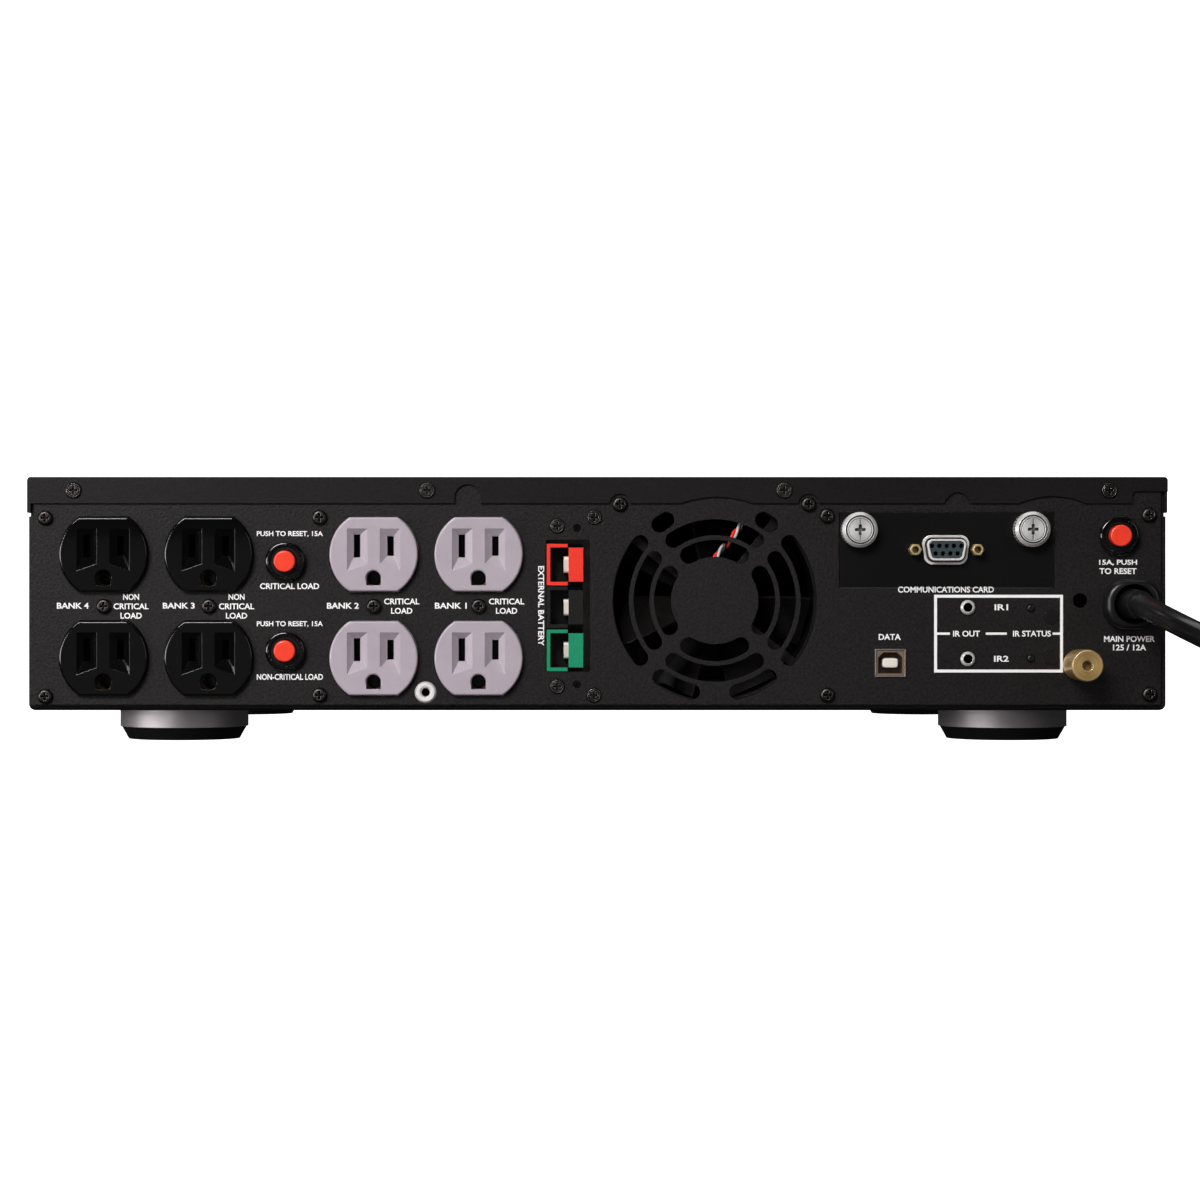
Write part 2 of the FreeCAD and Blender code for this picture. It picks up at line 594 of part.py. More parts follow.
def fan_frame():
    """The fan's frame, its four struts and the stator with the bearing."""
    half = FAN_SIZE / 2
    d0, d1 = FAN_FROM, FAN_FROM + FAN_DEPTH
    shell = rounded(FAN_X - half, FAN_X + half, d0, d1, FAN_H - half, FAN_H + half, 3.5)
    waist = box(FAN_X - half - 1, FAN_X + half + 1, d0 + 4, d1 - 4, FAN_H - half - 1, FAN_H + half + 1)
    waist = waist.cut(rod(FAN_X, FAN_H, d0, d1, half - 0.4))
    shell = cut(shell, [waist, rod(FAN_X, FAN_H, d0 - 1, d1 + 1, FAN_BORE_R)])
    shell = cut(shell, [rod(x, h, d0 - 1, d1 + 1, 2.2) for x, h in fan_corners()])
    struts = []
    for k in range(4):
        strut = box(FAN_X + FAN_HUB_R - 1, FAN_X + FAN_BORE_R + 0.6, d0, d0 + 3.0, FAN_H - 1.8, FAN_H + 1.8)
        strut.rotate(V(FAN_X, REAR_Y, BASE_Z + FAN_H), V(0, 1, 0), 90.0 * k + 38.0)
        struts.append(strut)
    base = rod(FAN_X, FAN_H, d0, d0 + 3.0, FAN_HUB_R)
    stator = rod(FAN_X, FAN_H, d0 + 3.0, d1 - 7.0, 12.5)
    bore = rod(FAN_X, FAN_H, d0 + 1.5, d1, SHAFT_R + SHAFT_FIT)
    return cut(fuse([shell, base, stator] + struts), [bore])


def fan_blade(turn):
    """One twisted blade, lofted from root to tip and turned about the fan's axis."""
    rings = []
    tip = FAN_BORE_R - BLADE_CLEAR
    half_way = (FAN_HUB_R + tip) / 2
    for radius, chord, pitch in ((FAN_HUB_R - 0.6, 13.0, 42.0), (half_way, 18.0, 34.0), (tip, 21.0, 28.0)):
        lean = math.radians(pitch)
        corners = []
        for along_chord, thick in ((-0.5, -0.7), (0.5, -0.5), (0.5, 0.5), (-0.5, 0.7), (-0.5, -0.7)):
            a = along_chord * chord
            side = a * math.cos(lean) - thick * math.sin(lean)
            deep = a * math.sin(lean) + thick * math.cos(lean)
            corners.append(V(FAN_X + side, REAR_Y + FAN_FROM + 13.5 + deep, BASE_Z + FAN_H + radius))
        rings.append(Part.makePolygon(corners))
    blade = Part.makeLoft(rings, True, False)
    blade.rotate(V(FAN_X, 0, BASE_Z + FAN_H), V(0, 1, 0), turn)
    return blade


def fan_rotor():
    """The rotor: cup, shaft and seven blades, clear of the frame all round."""
    d0, d1 = FAN_FROM + 3.0 + LOOSE, FAN_FROM + FAN_DEPTH - 2.0
    cup = rod(FAN_X, FAN_H, d0, d1, FAN_HUB_R)
    cup = cup.cut(rod(FAN_X, FAN_H, d0 - 1, d1 - 2.0, FAN_HUB_R - 2.0))
    shaft = rod(FAN_X, FAN_H, FAN_FROM + 2.0, d1 - 1.0, SHAFT_R)
    return fuse([cup, shaft] + [fan_blade(360.0 / BLADES * k) for k in range(BLADES)])


def fan_lead():
    """The fan's three leads, from the hub across the opening and back over the frame."""
    leads = []
    for k in range(3):
        lift = 1.5 * (k - 1)
        points = [(44.0 + lift, 3.9, 56.5), (55.0 + lift, 4.1, 70.0), (62.7 + lift, 4.0, 86.0),
                  (62.7 + lift, 60.0, 84.2)]
        leads.append(tube([V(x, REAR_Y + d, BASE_Z + h) for x, d, h in points], 0.65))
    return leads


# ---- Tubes along a route of straight runs and tangent arcs ----
def tube(points, radius, show=False):
    """A round tube along a route: each corner's arc takes 0.45 of its shorter run."""
    edges = []
    here = points[0]
    radii = []
    for before, corner, after in zip(points, points[1:], points[2:]):
        back = (before - corner)
        on = (after - corner)
        reach = 0.45 * min(back.Length, on.Length)
        back.normalize()
        on.normalize()
        half_turn = (math.pi - back.getAngle(on)) / 2
        start = corner + back * reach
        end = corner + on * reach
        arc_r = reach / math.tan(half_turn)
        radii.append(round(arc_r, 1))
        inward = (back + on).normalize()
        middle = corner + inward * (math.hypot(arc_r, reach) - arc_r)
        edges.append(Part.LineSegment(here, start).toShape())
        edges.append(Part.Arc(start, middle, end).toShape())
        here = end
    edges.append(Part.LineSegment(here, points[-1]).toShape())
    path = Part.Wire(edges)
    ring = Part.Wire(Part.Circle(points[0], points[1] - points[0], radius).toShape())
    solid = path.makePipeShell([ring], True, True)
    if show:
        print("arc radii", radii, "path", round(path.Length, 1), "volume ratio",
              round(solid.Volume / (math.pi * radius * radius * path.Length), 4))
    return solid


# ---- Communications card ----
def card_plate():
    """The card's rear plate, lying just inside the panel's opening."""
    x0, x1, h0, h1 = CARD
    plate = box(x0, x1, CARD_RECESS, CARD_RECESS + CARD_T, h0, h1)
    d0, d1 = 0, CARD_RECESS + CARD_T + 1
    tools = [rod(x, h, d0, d1, THUMB_SHANK_R + 0.08) for x, h in THUMB]
    tools.append(serial_outline(d0, d1, TOUCH))
    tools += [rod(SERIAL[0] + s * JACKSCREW, SERIAL[1], d0, d1, 1.5) for s in (-1, 1)]
    tab = box(x0 + 8, x0 + 20, CARD_RECESS + CARD_T, CARD_RECESS + CARD_T + 9,
              board_height() + 1.6, board_height() + 2.8)
    return fuse([cut(plate, tools), tab])


def board_height():
    """Underside of the card's circuit board."""
    return SERIAL[1] - 8.3


def card_board():
    """The card's circuit board with a few packages on it."""
    h = board_height()
    x0, x1 = CARD[0] + 2.0, CARD[1] - 2.0
    d0 = CARD_RECESS + CARD_T + TOUCH
    board = box(x0, x1, d0, d0 + CARD_LONG, h, h + 1.6)
    chips = [  # x, depth as a share of the board's length, width, length, height
        (100, 0.20, 14, 20, 3), (130, 0.31, 24, 24, 2.4), (105, 0.56, 30, 12, 5), (145, 0.66, 14, 30, 7),
        (118, 0.81, 12, 12, 8),
    ]
    packages = []
    for x, share, wide, long, tall in chips:
        d = d0 + share * CARD_LONG
        packages.append(box(x, x + wide, d, d + long, h + 1.5, h + 1.6 + tall))
    return fuse([board] + packages)


def serial_outline(d0, d1, grow):
    """The D-shaped outline of the nine-way connector, wide at the top."""
    half, low, up = SERIAL_W / 2 + grow, SERIAL_W / 2 - 1.5 + grow, SERIAL_H / 2 + grow
    x, h = SERIAL
    corners = [(x - half, h + up), (x + half, h + up), (x + low, h - up), (x - low, h - up)]
    corners.append(corners[0])
    wire = Part.makePolygon([V(a, REAR_Y + d0, BASE_Z + b) for a, b in corners])
    solid = Part.Face(wire).extrude(V(0, d1 - d0, 0))
    upright = [e for e in solid.Edges if abs(e.Vertexes[0].Point.y - e.Vertexes[1].Point.y) > 0.5]
    return solid.makeFillet(2.2 + 0.7 * grow, upright)


def serial_shell():
    """The connector's metal shell, its raised lip on the plate and its flange behind it."""
    back = CARD_RECESS + CARD_T
    inside = serial_outline(-6.2, back + 4, -SERIAL_WALL)
    shell = serial_outline(-4.2, back + 3, 0).cut(inside)
    lip = serial_outline(-1.3, CARD_RECESS - TOUCH, SERIAL_LIP)
    lip = cut(lip, [serial_outline(-2.3, -0.1, SERIAL_LIP - 0.9), inside])
    flange = box(SERIAL[0] - 15.4, SERIAL[0] + 15.4, back + TOUCH, back + 1.0,
                 SERIAL[1] - 6.2, SERIAL[1] + 6.2)
    flange = cut(flange, [inside] + [rod(SERIAL[0] + s * JACKSCREW, SERIAL[1], 0, 5, 1.5) for s in (-1, 1)])
    return fuse([shell, lip, flange])


def serial_pins():
    """The nine contact places, five above and four below."""
    x, h = SERIAL
    upper = [(x + 2.76 * (k - 2), h + 1.42) for k in range(5)]
    return upper + [(x + 2.76 * (k - 1.5), h - 1.42) for k in range(4)]


def serial_insert():
    """The moulded insert with nine contact holes, and its body down to the board."""
    back = CARD_RECESS + CARD_T
    nose = serial_outline(-3.8, back + 3, -SERIAL_WALL - TOUCH)
    body = box(SERIAL[0] - 9.5, SERIAL[0] + 9.5, back + 3.0, back + 12,
               board_height() + 1.65, SERIAL[1] + 5.4)
    return cut(fuse([nose, body]), [rod(x, h, -6, 4, PIN_HOLE_R) for x, h in serial_pins()])


def jackscrews():
    """The two hexagonal jackscrews beside the connector."""
    screws = []
    for side in (-1, 1):
        x, h = SERIAL[0] + side * JACKSCREW, SERIAL[1]
        turns = [k * math.pi / 3 for k in range(7)]
        corners = [V(x + JACKSCREW_R * math.cos(t), REAR_Y - 4.6, BASE_Z + h + JACKSCREW_R * math.sin(t))
                   for t in turns]
        head = Part.Face(Part.makePolygon(corners)).extrude(V(0, 4.6 + CARD_RECESS, 0))
        head = head.common(cone(x, h, -4.6, CARD_RECESS, 1.9, 6.0))
        shank = rod(x, h, CARD_RECESS - 0.2, 6.0, 1.45)
        screws.append(fuse([head, shank]).cut(rod(x, h, -6, -0.6, 1.3)))
    return screws


def thumbscrew(x, h):
    """A captive thumbscrew: bevelled, knurled collar, turned face with a cross recess, plain shank."""
    front = CARD_RECESS - LOOSE
    face = front - THUMB_LONG
    collar = rod(x, h, face, front, THUMB_R)
    rim = [e for e in collar.Edges if abs(e.CenterOfMass.y - REAR_Y - face) < 1e-6]
    collar = collar.makeChamfer(1.1, rim)
    ditch = rod(x, h, face - 1, face + 1.2, 5.4).cut(rod(x, h, face - 1, face + 2, 4.9))
    groove = rod(x, h, face - 1, face + 0.2, 4.4).cut(rod(x, h, face - 1, face + 1, 4.2))
    shank = rod(x, h, front - 0.1, CARD_RECESS + CARD_T + 8.0, THUMB_SHANK_R)
    tools = [ditch, groove] + cross(x, h, face - 1, face + 1.4, 4.0)
    tools.append(box(x - 0.2, x + 0.2, face - 1, face + 0.35, h - 4.1, h + 4.1))
    for k in range(36):
        notch = box(x + THUMB_R - 0.35, x + THUMB_R + 1, face + 1.4, front - 0.6, h - 0.22, h + 0.22)
        notch.rotate(V(x, REAR_Y, BASE_Z + h), V(0, 1, 0), 10.0 * k)
        tools.append(notch)
    return cut(fuse([collar, shank]), tools)


def card_cage():
    """The frame behind the panel that the card slides into, with a grooved rail each side."""
    x0, x1, h0, h1 = CARD
    d0 = CARD_RECESS + CARD_T + LOOSE
    deep = d0 + CARD_LONG + 4
    frame = box(x0 - 1.9, x1 + 1.9, d0, d0 + SHEET, h0 - 1.9, h1 + 4.0)
    frame = frame.cut(box(x0 + 1.2, x1 - 1.2, d0 - 1, d0 + SHEET + 1, h0 + 1.5, h1 - 1.5))
    lugs = [box(x - 5.0, x + 5.0, d0, d0 + 5.0, h - 4.5, h1 + 3.0) for x, h in THUMB]
    h = board_height()
    rails = []
    for edge, side in ((x0, -1), (x1, 1)):
        a, b = sorted((edge - side * 4.6, edge + side * 2.4))
        rail = box(a, b, d0, deep, h - 2.2, h + 3.8)
        c, d = sorted((edge - side * 6, edge - side * (2.0 - LOOSE)))
        rails.append(rail.cut(box(c, d, d0 - 1, deep + 1, h - LOOSE, h + 1.6 + LOOSE)))
    tools = [rod(x, hh, 0, 20, THUMB_SHANK_R + 0.08) for x, hh in THUMB]
    tools.append(box(x0 + 6, x0 + 22, d0 - 1, d0 + 8, h - 2, h + 4))
    return cut(fuse([frame] + lugs + rails), tools)


# ---- Small connectors ----
def usb_parts():
    """The square data port: a metal shell round a moulded insert with its tongue."""
    x, h = USB
    w, t = USB_W / 2, USB_H / 2
    shell = box(x - w, x + w, -0.8, BOARD_D - TOUCH, h - t, h + t)
    shell = shell.cut(box(x - w + 0.5, x + w - 0.5, -2, BOARD_D - 1, h - t + 0.5, h + t - 0.5))
    inner = box(x - w + 0.55, x + w - 0.55, -0.3, BOARD_D - 1.1, h - t + 0.55, h + t - 0.55)
    cavity = box(x - 4.6, x + 4.6, -1, 4.5, h - 4.0, h + 4.0)
    upper = along(cavity, V(0, 1, 0), lambda p: p.z > BASE_Z + h)
    cavity = cavity.makeChamfer(2.0, upper)
    tongue = box(x - 2.85, x + 2.85, -0.2, 5.0, h - 1.75, h + 1.75)
    return shell, fuse([inner.cut(cavity), tongue])


def ir_jacks():
    """Two infra-red emitter jacks: a turned nose through the panel and a moulded body."""
    jacks = []
    for x, h in IR_JACKS:
        nose = rod(x, h, -1.6, SHEET + 1, 2.8)
        rim = [e for e in nose.Edges if abs(e.CenterOfMass.y - REAR_Y + 1.6) < 1e-6]
        body = box(x - 3.2, x + 3.2, SHEET + TOUCH, BOARD_D - TOUCH, h - 3.2, h + 3.2)
        jacks.append(fuse([nose.makeChamfer(0.75, rim), body]).cut(rod(x, h, -3, 12.0, IR_BORE_R)))
    return jacks


def status_lamps():
    """Two small round lamps and two flat round sensor lenses."""
    lamps = []
    for x, h in LAMPS:
        lamp = rod(x, h, -0.9, BOARD_D - TOUCH, 1.5)
        rim = [e for e in lamp.Edges if abs(e.CenterOfMass.y - REAR_Y + 0.9) < 1e-6]
        lamps.append(lamp.makeFillet(0.8, rim))
    for x, h in LENSES:
        lamps.append(rod(x, h, -0.3, BOARD_D - TOUCH, 2.75))
    return lamps


def signal_board():
    """The upright board behind the data port, jacks and lamps."""
    return box(101.0, 176.0, BOARD_D, BOARD_D + 1.6, 6.0, 44.0)


def ground_parts():
    """The ground stud with its washer and back nut, and the round brass nut on it."""
    x, h = GROUND_STUD
    back_nut = rod(x, h, SHEET + TOUCH, 5.0, 4.6)
    washer = rod(x, h, -0.5, -TOUCH, 5.2)
    stud = fuse([rod(x, h, -16.0, 11.0, STUD_R), back_nut, washer])
    nut = rod(x, h, -NUT_PROUD, -0.5 - LOOSE, NUT_R)
    nut = nut.makeChamfer(0.45, [e for e in nut.Edges if e.Curve.TypeId == "Part::GeomCircle"])
    bore = rod(x, h, -16.0 - LOOSE, 0, STUD_R + NUT_FIT)
    eye = rod(x, h, -NUT_PROUD - 1, -15, 1.5)
    lead = cone(x, h, -NUT_PROUD - 0.01, -NUT_PROUD + 0.7, 2.1, 1.5)
    return stud, cut(nut, [bore, eye, lead])


def rivet_nut():
    """A plated threaded insert set in the panel."""
    x, h = RIVET_NUT
    flange = cone(x, h, -0.9, -TOUCH, 3.4, 4.15)
    body = fuse([flange, rod(x, h, -0.2, 9.0, RIVET_R)])
    return cut(body, [rod(x, h, -2, 10, RIVET_BORE_R), cone(x, h, -0.91, -0.2, 2.3, RIVET_BORE_R)])


def strain_relief():
    """The moulded bush that grips the cord: a hood on the panel and a tapered sleeve."""
    x, h = RELIEF
    hood = rounded(x - RELIEF_W / 2, x + RELIEF_W / 2, -RELIEF_HOOD, -TOUCH,
                   h - RELIEF_H / 2, h + RELIEF_H / 2, RELIEF_CORNER)
    front = [e for e in hood.Edges if abs(e.CenterOfMass.y - REAR_Y + RELIEF_HOOD) < 1e-6]
    hood = hood.makeFillet(2.2, front).cut(cone(x, h, -RELIEF_HOOD - 0.1, -2.0, 7.6, 6.3))
    sleeve = cone(x, h, -RELIEF_LONG, -1.9, 5.1, 6.2)
    neck = rod(x, h, -1.0, 8.0, 8.0)
    collar = rod(x, h, SHEET + TOUCH, 8.0, 9.6)
    return fuse([hood, sleeve, neck, collar])


# ---- Front ----
def front_bezel():
    """The moulded front, hollow behind, with its window and key holes."""
    block = rounded(-HALF_W, HALF_W, PAN_END + TOUCH, BODY_D, 0, BODY_H, 2.6)
    front = [e for e in block.Edges if abs(e.CenterOfMass.y - REAR_Y - BODY_D) < 1e-6]
    block = block.makeFillet(1.6, front)
    wall = BEZEL_WALL
    tools = [box(-HALF_W + wall, HALF_W - wall, PAN_END - 1, BODY_D - wall, wall, BODY_H - wall)]
    tools.append(box(DISPLAY[0], DISPLAY[1], PAN_END, BODY_D + 1, DISPLAY[2], DISPLAY[3]))
    tools.append(rod(POWER_KEY[0], POWER_KEY[1], PAN_END, BODY_D + 1, POWER_KEY_R + LOOSE))
    tools.append(rod(MODE_KEY[0], MODE_KEY[1], PAN_END, BODY_D + 1, MODE_KEY_R + LOOSE))
    return cut(block, tools)


def display_window():
    """The clear window that fills the bezel's opening, with a rim behind it."""
    x0, x1, h0, h1 = DISPLAY
    face = box(x0 + TOUCH, x1 - TOUCH, BODY_D - BEZEL_WALL - 0.1, BODY_D - 0.4,
               h0 + TOUCH, h1 - TOUCH)
    rim = box(x0 - 2, x1 + 2, BODY_D - BEZEL_WALL - 1.2, BODY_D - BEZEL_WALL - TOUCH, h0 - 2, h1 + 2)
    return fuse([face, rim])


def display_board():
    """The display's board and glass module in the bezel's hollow, with a switch behind each key."""
    back = PAN_END + 0.4
    parts = [box(-70.0, 165.0, back, back + 1.4, 22.0, 68.0)]
    parts.append(box(DISPLAY[0] + 3, DISPLAY[1] - 3, back + 1.3, BODY_D - BEZEL_WALL - 1.3,
                     DISPLAY[2] - 1, DISPLAY[3] + 1))
    return fuse(parts)


def front_key(place, radius):
    """A round key with a retaining flange behind the bezel."""
    x, h = place
    flange_d = BODY_D - BEZEL_WALL - LOOSE
    head = rod(x, h, flange_d - 0.8, BODY_D + KEY_PROUD, radius)
    rim = [e for e in head.Edges if abs(e.CenterOfMass.y - REAR_Y - BODY_D - KEY_PROUD) < 1e-6]
    return fuse([head.makeFillet(0.6, rim), rod(x, h, flange_d - 0.9, flange_d, radius + 1.4)])


# ---- Inside ----
def batteries():
    """Four sealed lead-acid blocks, two across and two deep."""
    wide, deep, high = BATTERY
    blocks = []
    for column in range(2):
        for row in range(2):
            x = BATTERY_FROM[0] + column * (wide + BATTERY_GAP)
            d = BATTERY_FROM[1] + row * (deep + BATTERY_GAP)
            case = rounded(x, x + wide, d, d + deep, 2.6, 2.6 + high, 1.5)
            tabs = [box(x + t, x + t + 0.8, d - 0.9, d + 0.5, 50, 56) for t in (18, wide - 19)]
            blocks.append(fuse([case] + tabs))
    return blocks


def battery_tray():
    """The tray that holds the battery blocks."""
    wide, deep = 2 * BATTERY[0] + BATTERY_GAP, 2 * BATTERY[1] + BATTERY_GAP
    x0, d0 = BATTERY_FROM[0] - 0.2, BATTERY_FROM[1] - 1.3
    outer = box(x0 - 1, x0 + wide + 1.4, d0 - 1, d0 + deep + 2.5, SHEET + TOUCH, 24.0)
    return outer.cut(box(x0, x0 + wide + 0.4, d0, d0 + deep + 1.5, 2.5, 30))


def transformer():
    """The transformer: a laminated core with a winding through it, on a foot plate."""
    x0, d0, h0 = 120.0, PAN_END - 176.0, SHEET + TOUCH
    core = box(x0, x0 + 78, d0 + 20, d0 + 74, h0 + 2, h0 + 68)
    coil = rounded(x0 + 13, x0 + 65, d0, d0 + 94, h0 + 14, h0 + 56, 8.0)
    foot = box(x0 - 6, x0 + 84, d0 + 18, d0 + 76, h0, h0 + 2.1)
    return fuse([core, coil, foot])


def main_board():
    """The power board on its standoffs."""
    x0, x1, d0, d1, h = MAIN
    board = box(x0, x1, d0, d1, h, h + 1.6)
    standoffs = []
    for x in (x0 + 6, 0.0, x1 - 6):
        for d in (d0 + 6, d1 - 6):
            standoffs.append(post(x, REAR_Y + d, BASE_Z + SHEET + TOUCH, BASE_Z + h + 0.1, 3.0))
    return fuse([board] + standoffs)


def heat_sinks():
    """Two finned extrusions standing on the board."""
    sinks = []
    base = MAIN[4] + 1.6 + TOUCH
    for x in (-170.0, -92.0):
        d0, d1 = MAIN[2] + 20.0, MAIN[3] - 18.0
        fins = [box(x, x + 56, d0, d1, base, base + 5.0)]
        places = [x + 6.0 * k for k in range(10)]
        fins += [box(fin, fin + 1.8, d0, d1, base + 4, base + 44.0) for fin in places]
        sinks.append(fuse(fins))
    return sinks


def board_parts():
    """Capacitors and relays standing on the board."""
    base = MAIN[4] + 1.6 + TOUCH
    parts = []
    for column in range(2):
        for row in range(2):
            x, y = -10.0 + 26.0 * column, REAR_Y + 80 + 28.0 * row
            parts.append(post(x, y, BASE_Z + base, BASE_Z + base + 36.0, 11.0))
            x, d = 42.0 + 22.0 * column, 70.0 + 34.0 * row
            parts.append(box(x, x + 16.0, d, d + 28.0, base, base + 22.0))
    parts.append(box(120.0, 160.0, 60.0, 96.0, base, base + 26.0))
    return parts


# ---- Cord ----
def coil_place():
    """Centre of the coil and the angle where the cord joins it, tangent to the last run."""
    before, end = V(*CORD_ROUTE[-2]), V(*CORD_ROUTE[-1])
    run = end - before
    angle = math.atan2(-run.x, run.y)
    centre = end - V(math.cos(angle), math.sin(angle), 0) * COIL_MEAN_R
    return V(centre.x, centre.y, 0), angle


def coil_top():
    """Height of the top of the coil's last turn."""
    turned = COIL_LEAVE - math.degrees(coil_place()[1])
    return 2 * CORD_R + COIL_PITCH * (COIL_FULL_TURNS + turned / 360.0)


def coil_solid():
    """The outer shape of the coiled length, standing on the floor."""
    centre = coil_place()[0]
    outer = post(centre.x, centre.y, 0, coil_top(), COIL_MEAN_R + CORD_R)
    return outer.cut(post(centre.x, centre.y, -1, coil_top() + 1, COIL_MEAN_R - CORD_R))


def plug():
    """A three-pin moulded plug lying on the coil: tapered relief, body, two blades and a pin."""
    body = Part.makeBox(PLUG_LONG, PLUG_W, PLUG_H, V(PLUG_RELIEF, -PLUG_W / 2, -PLUG_H / 2))
    body = body.makeFillet(5.0, along(body, V(1, 0, 0), lambda p: True))
    relief = Part.makeCone(CORD_R + 0.4, 7.0, PLUG_RELIEF + 1, V(0, 0, 0), V(1, 0, 0))
    face = PLUG_RELIEF + PLUG_LONG - 0.5
    pins = [Part.makeBox(17.5, 1.5, 6.35, V(face, side * 6.35 - 0.75, -0.2)) for side in (-1, 1)]
    pins.append(Part.makeCylinder(2.4, 20.0, V(face, 0, -8.5), V(1, 0, 0)))
    whole = fuse([body, relief] + pins)
    leave = math.radians(COIL_LEAVE)
    ring = coil_place()[0]
    middle = ring + V(math.cos(leave), math.sin(leave), 0) * (COIL_MEAN_R - TAIL_R)
    end = leave + math.radians(TAIL_TURN)
    start = middle + V(math.cos(end), math.sin(end), 0) * TAIL_R
    whole.rotate(V(0, 0, 0), V(0, 0, 1), math.degrees(end) + 90.0)
    whole.translate(V(start.x, start.y, coil_top() + PLUG_H / 2))
    return whole


def make_parts():
    """Write every node."""
    os.makedirs("parts", exist_ok=True)
    save("base_pan", base_pan())
    save("rear_panel", rear_panel())
    save("top_cover", top_cover())
    rings, pads, screws = feet()
    save("foot_rings", rings)
    save("foot_pads", pads)
    save("foot_screws", screws)
    for number, x in enumerate(OUTLET_X, 1):
        save(f"outlet_bank_{number}", outlet(x))
    save("outlet_contacts", [leaf for x in OUTLET_X for leaf in outlet_contacts(x)])
    save("outlet_screws", [pan_screw(x, OUTLET_H, 0, 14.0) for x in OUTLET_X])
    save("breaker_bodies", [breaker(x, h) for x, h in BREAKERS])
    save("breaker_nuts", [ring_nut(x, h) for x, h in BREAKERS])
    for number, (x, h) in enumerate(BREAKERS, 1):
        save(f"reset_button_{number}", reset_button(x, h))
    save("battery_bracket", battery_bracket())
    for name, h in zip(("positive", "middle", "negative"), SOCKET_H):
        save(f"battery_socket_{name}", battery_socket(h))
    save("battery_contacts", [socket_contact(h) for h in SOCKET_H])
    save("fan_bracket", fan_bracket())
    save("fan_frame", fan_frame())
    save("fan_rotor", fan_rotor())
    save("fan_lead", fan_lead())
    save("card_cage", card_cage())
    save("card_plate", card_plate())
    save("card_board", card_board())
    save("serial_shell", serial_shell())
    save("serial_insert", serial_insert())
    save("serial_jackscrews", jackscrews())
    for name, (x, h) in zip(("left", "right"), THUMB):
        save(f"thumbscrew_{name}", thumbscrew(x, h))
    shell, insert = usb_parts()
    save("usb_shell", shell)
    save("usb_insert", insert)
    save("ir_jacks", ir_jacks())
    save("status_lamps", status_lamps())
    save("signal_board", signal_board())
    stud, nut = ground_parts()
    save("ground_stud", stud)
    save("ground_nut", nut)
    save("rivet_nut", rivet_nut())
    panel_screws = [pan_screw(x, h, 0, 6.0) for x, h in PAN_SCREWS]
    save("panel_screws", panel_screws + [pan_screw(x, h, 0, FAN_FROM + 8.0) for x, h in FAN_SCREWS])
    save("bracket_screws", [flat_screw(x, h, 0, 6.0, 2.95) for x, h in FLAT_SCREWS])
    save("cover_screws", [flat_screw(x, h, -COVER_T - TOUCH, 6.0) for x, h in COVER_SCREWS])
    save("strain_relief", strain_relief())
    save("front_bezel", front_bezel())
    save("display_window", display_window())
    save("display_board", display_board())
    save("power_key", front_key(POWER_KEY, POWER_KEY_R))
    save("mode_key", front_key(MODE_KEY, MODE_KEY_R))
    save("battery_tray", battery_tray())
    save("batteries", batteries())
    save("transformer", transformer())
    save("main_board", main_board())
    save("heat_sinks", heat_sinks())
    save("board_parts", board_parts())
    save("power_cord", tube([V(*p) for p in CORD_ROUTE], CORD_R, True))
    save("cord_coil", coil_solid())
    save("cord_plug", plug())


make_parts()
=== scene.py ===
# %% [markdown]
# # A rack-mount power supply, finished in Blender
# The frame comes from the imported CAD model: every node lies where it belongs, in metres, with
# +Z up and the rear panel towards -Y. This script adds the camera, the cord and its plug, the fan
# leads, the data socket's tongue, the printed legends and every material. It never moves a CAD part.

# %% Load the frame
import bmesh
import bpy
import json
import math
import numpy as np
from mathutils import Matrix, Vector


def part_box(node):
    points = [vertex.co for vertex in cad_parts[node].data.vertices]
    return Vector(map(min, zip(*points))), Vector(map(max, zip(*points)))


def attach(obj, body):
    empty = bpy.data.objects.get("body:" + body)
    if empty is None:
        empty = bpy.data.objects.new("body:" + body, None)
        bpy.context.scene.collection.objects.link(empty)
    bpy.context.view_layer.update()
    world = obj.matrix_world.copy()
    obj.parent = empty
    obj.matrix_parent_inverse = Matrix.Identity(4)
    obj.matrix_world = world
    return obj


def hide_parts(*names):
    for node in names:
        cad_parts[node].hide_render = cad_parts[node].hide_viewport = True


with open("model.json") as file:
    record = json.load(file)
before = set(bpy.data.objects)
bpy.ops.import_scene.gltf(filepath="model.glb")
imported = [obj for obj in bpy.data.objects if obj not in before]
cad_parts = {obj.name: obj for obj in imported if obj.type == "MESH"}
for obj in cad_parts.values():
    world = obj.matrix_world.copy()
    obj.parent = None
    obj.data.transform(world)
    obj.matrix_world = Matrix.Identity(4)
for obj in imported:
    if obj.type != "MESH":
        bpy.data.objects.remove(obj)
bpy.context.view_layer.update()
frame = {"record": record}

# %% [markdown]
# Places are easiest to read as the maker of a panel gives them: x across, d in from the panel's
# outer face and h above the underside of the chassis, all in millimetres. Both datums are read from
# the CAD nodes, so a change of the design moves everything that is added here.

# %% Panel places
MM = 0.001
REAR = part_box("rear_panel")[0][1]
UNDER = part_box("base_pan")[0][2]


def place(x, d, h):
    """A point given across, in from the panel and above the chassis, as metres in the row frame."""
    return np.array([x * MM, REAR + d * MM, UNDER + h * MM])


def middle(node):
    """The middle of a node's box."""
    low, high = (np.array(corner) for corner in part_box(node))
    return (low + high) / 2


print("rear face at y", round(REAR, 4), "underside at z", round(UNDER, 4))

# %% [markdown]
# ## Mesh helpers
# A new piece is a surface worked out on a grid of two parameters. One helper turns a grid of points
# into quads, one turns a profile about an axis, and one carries a ring along a path.

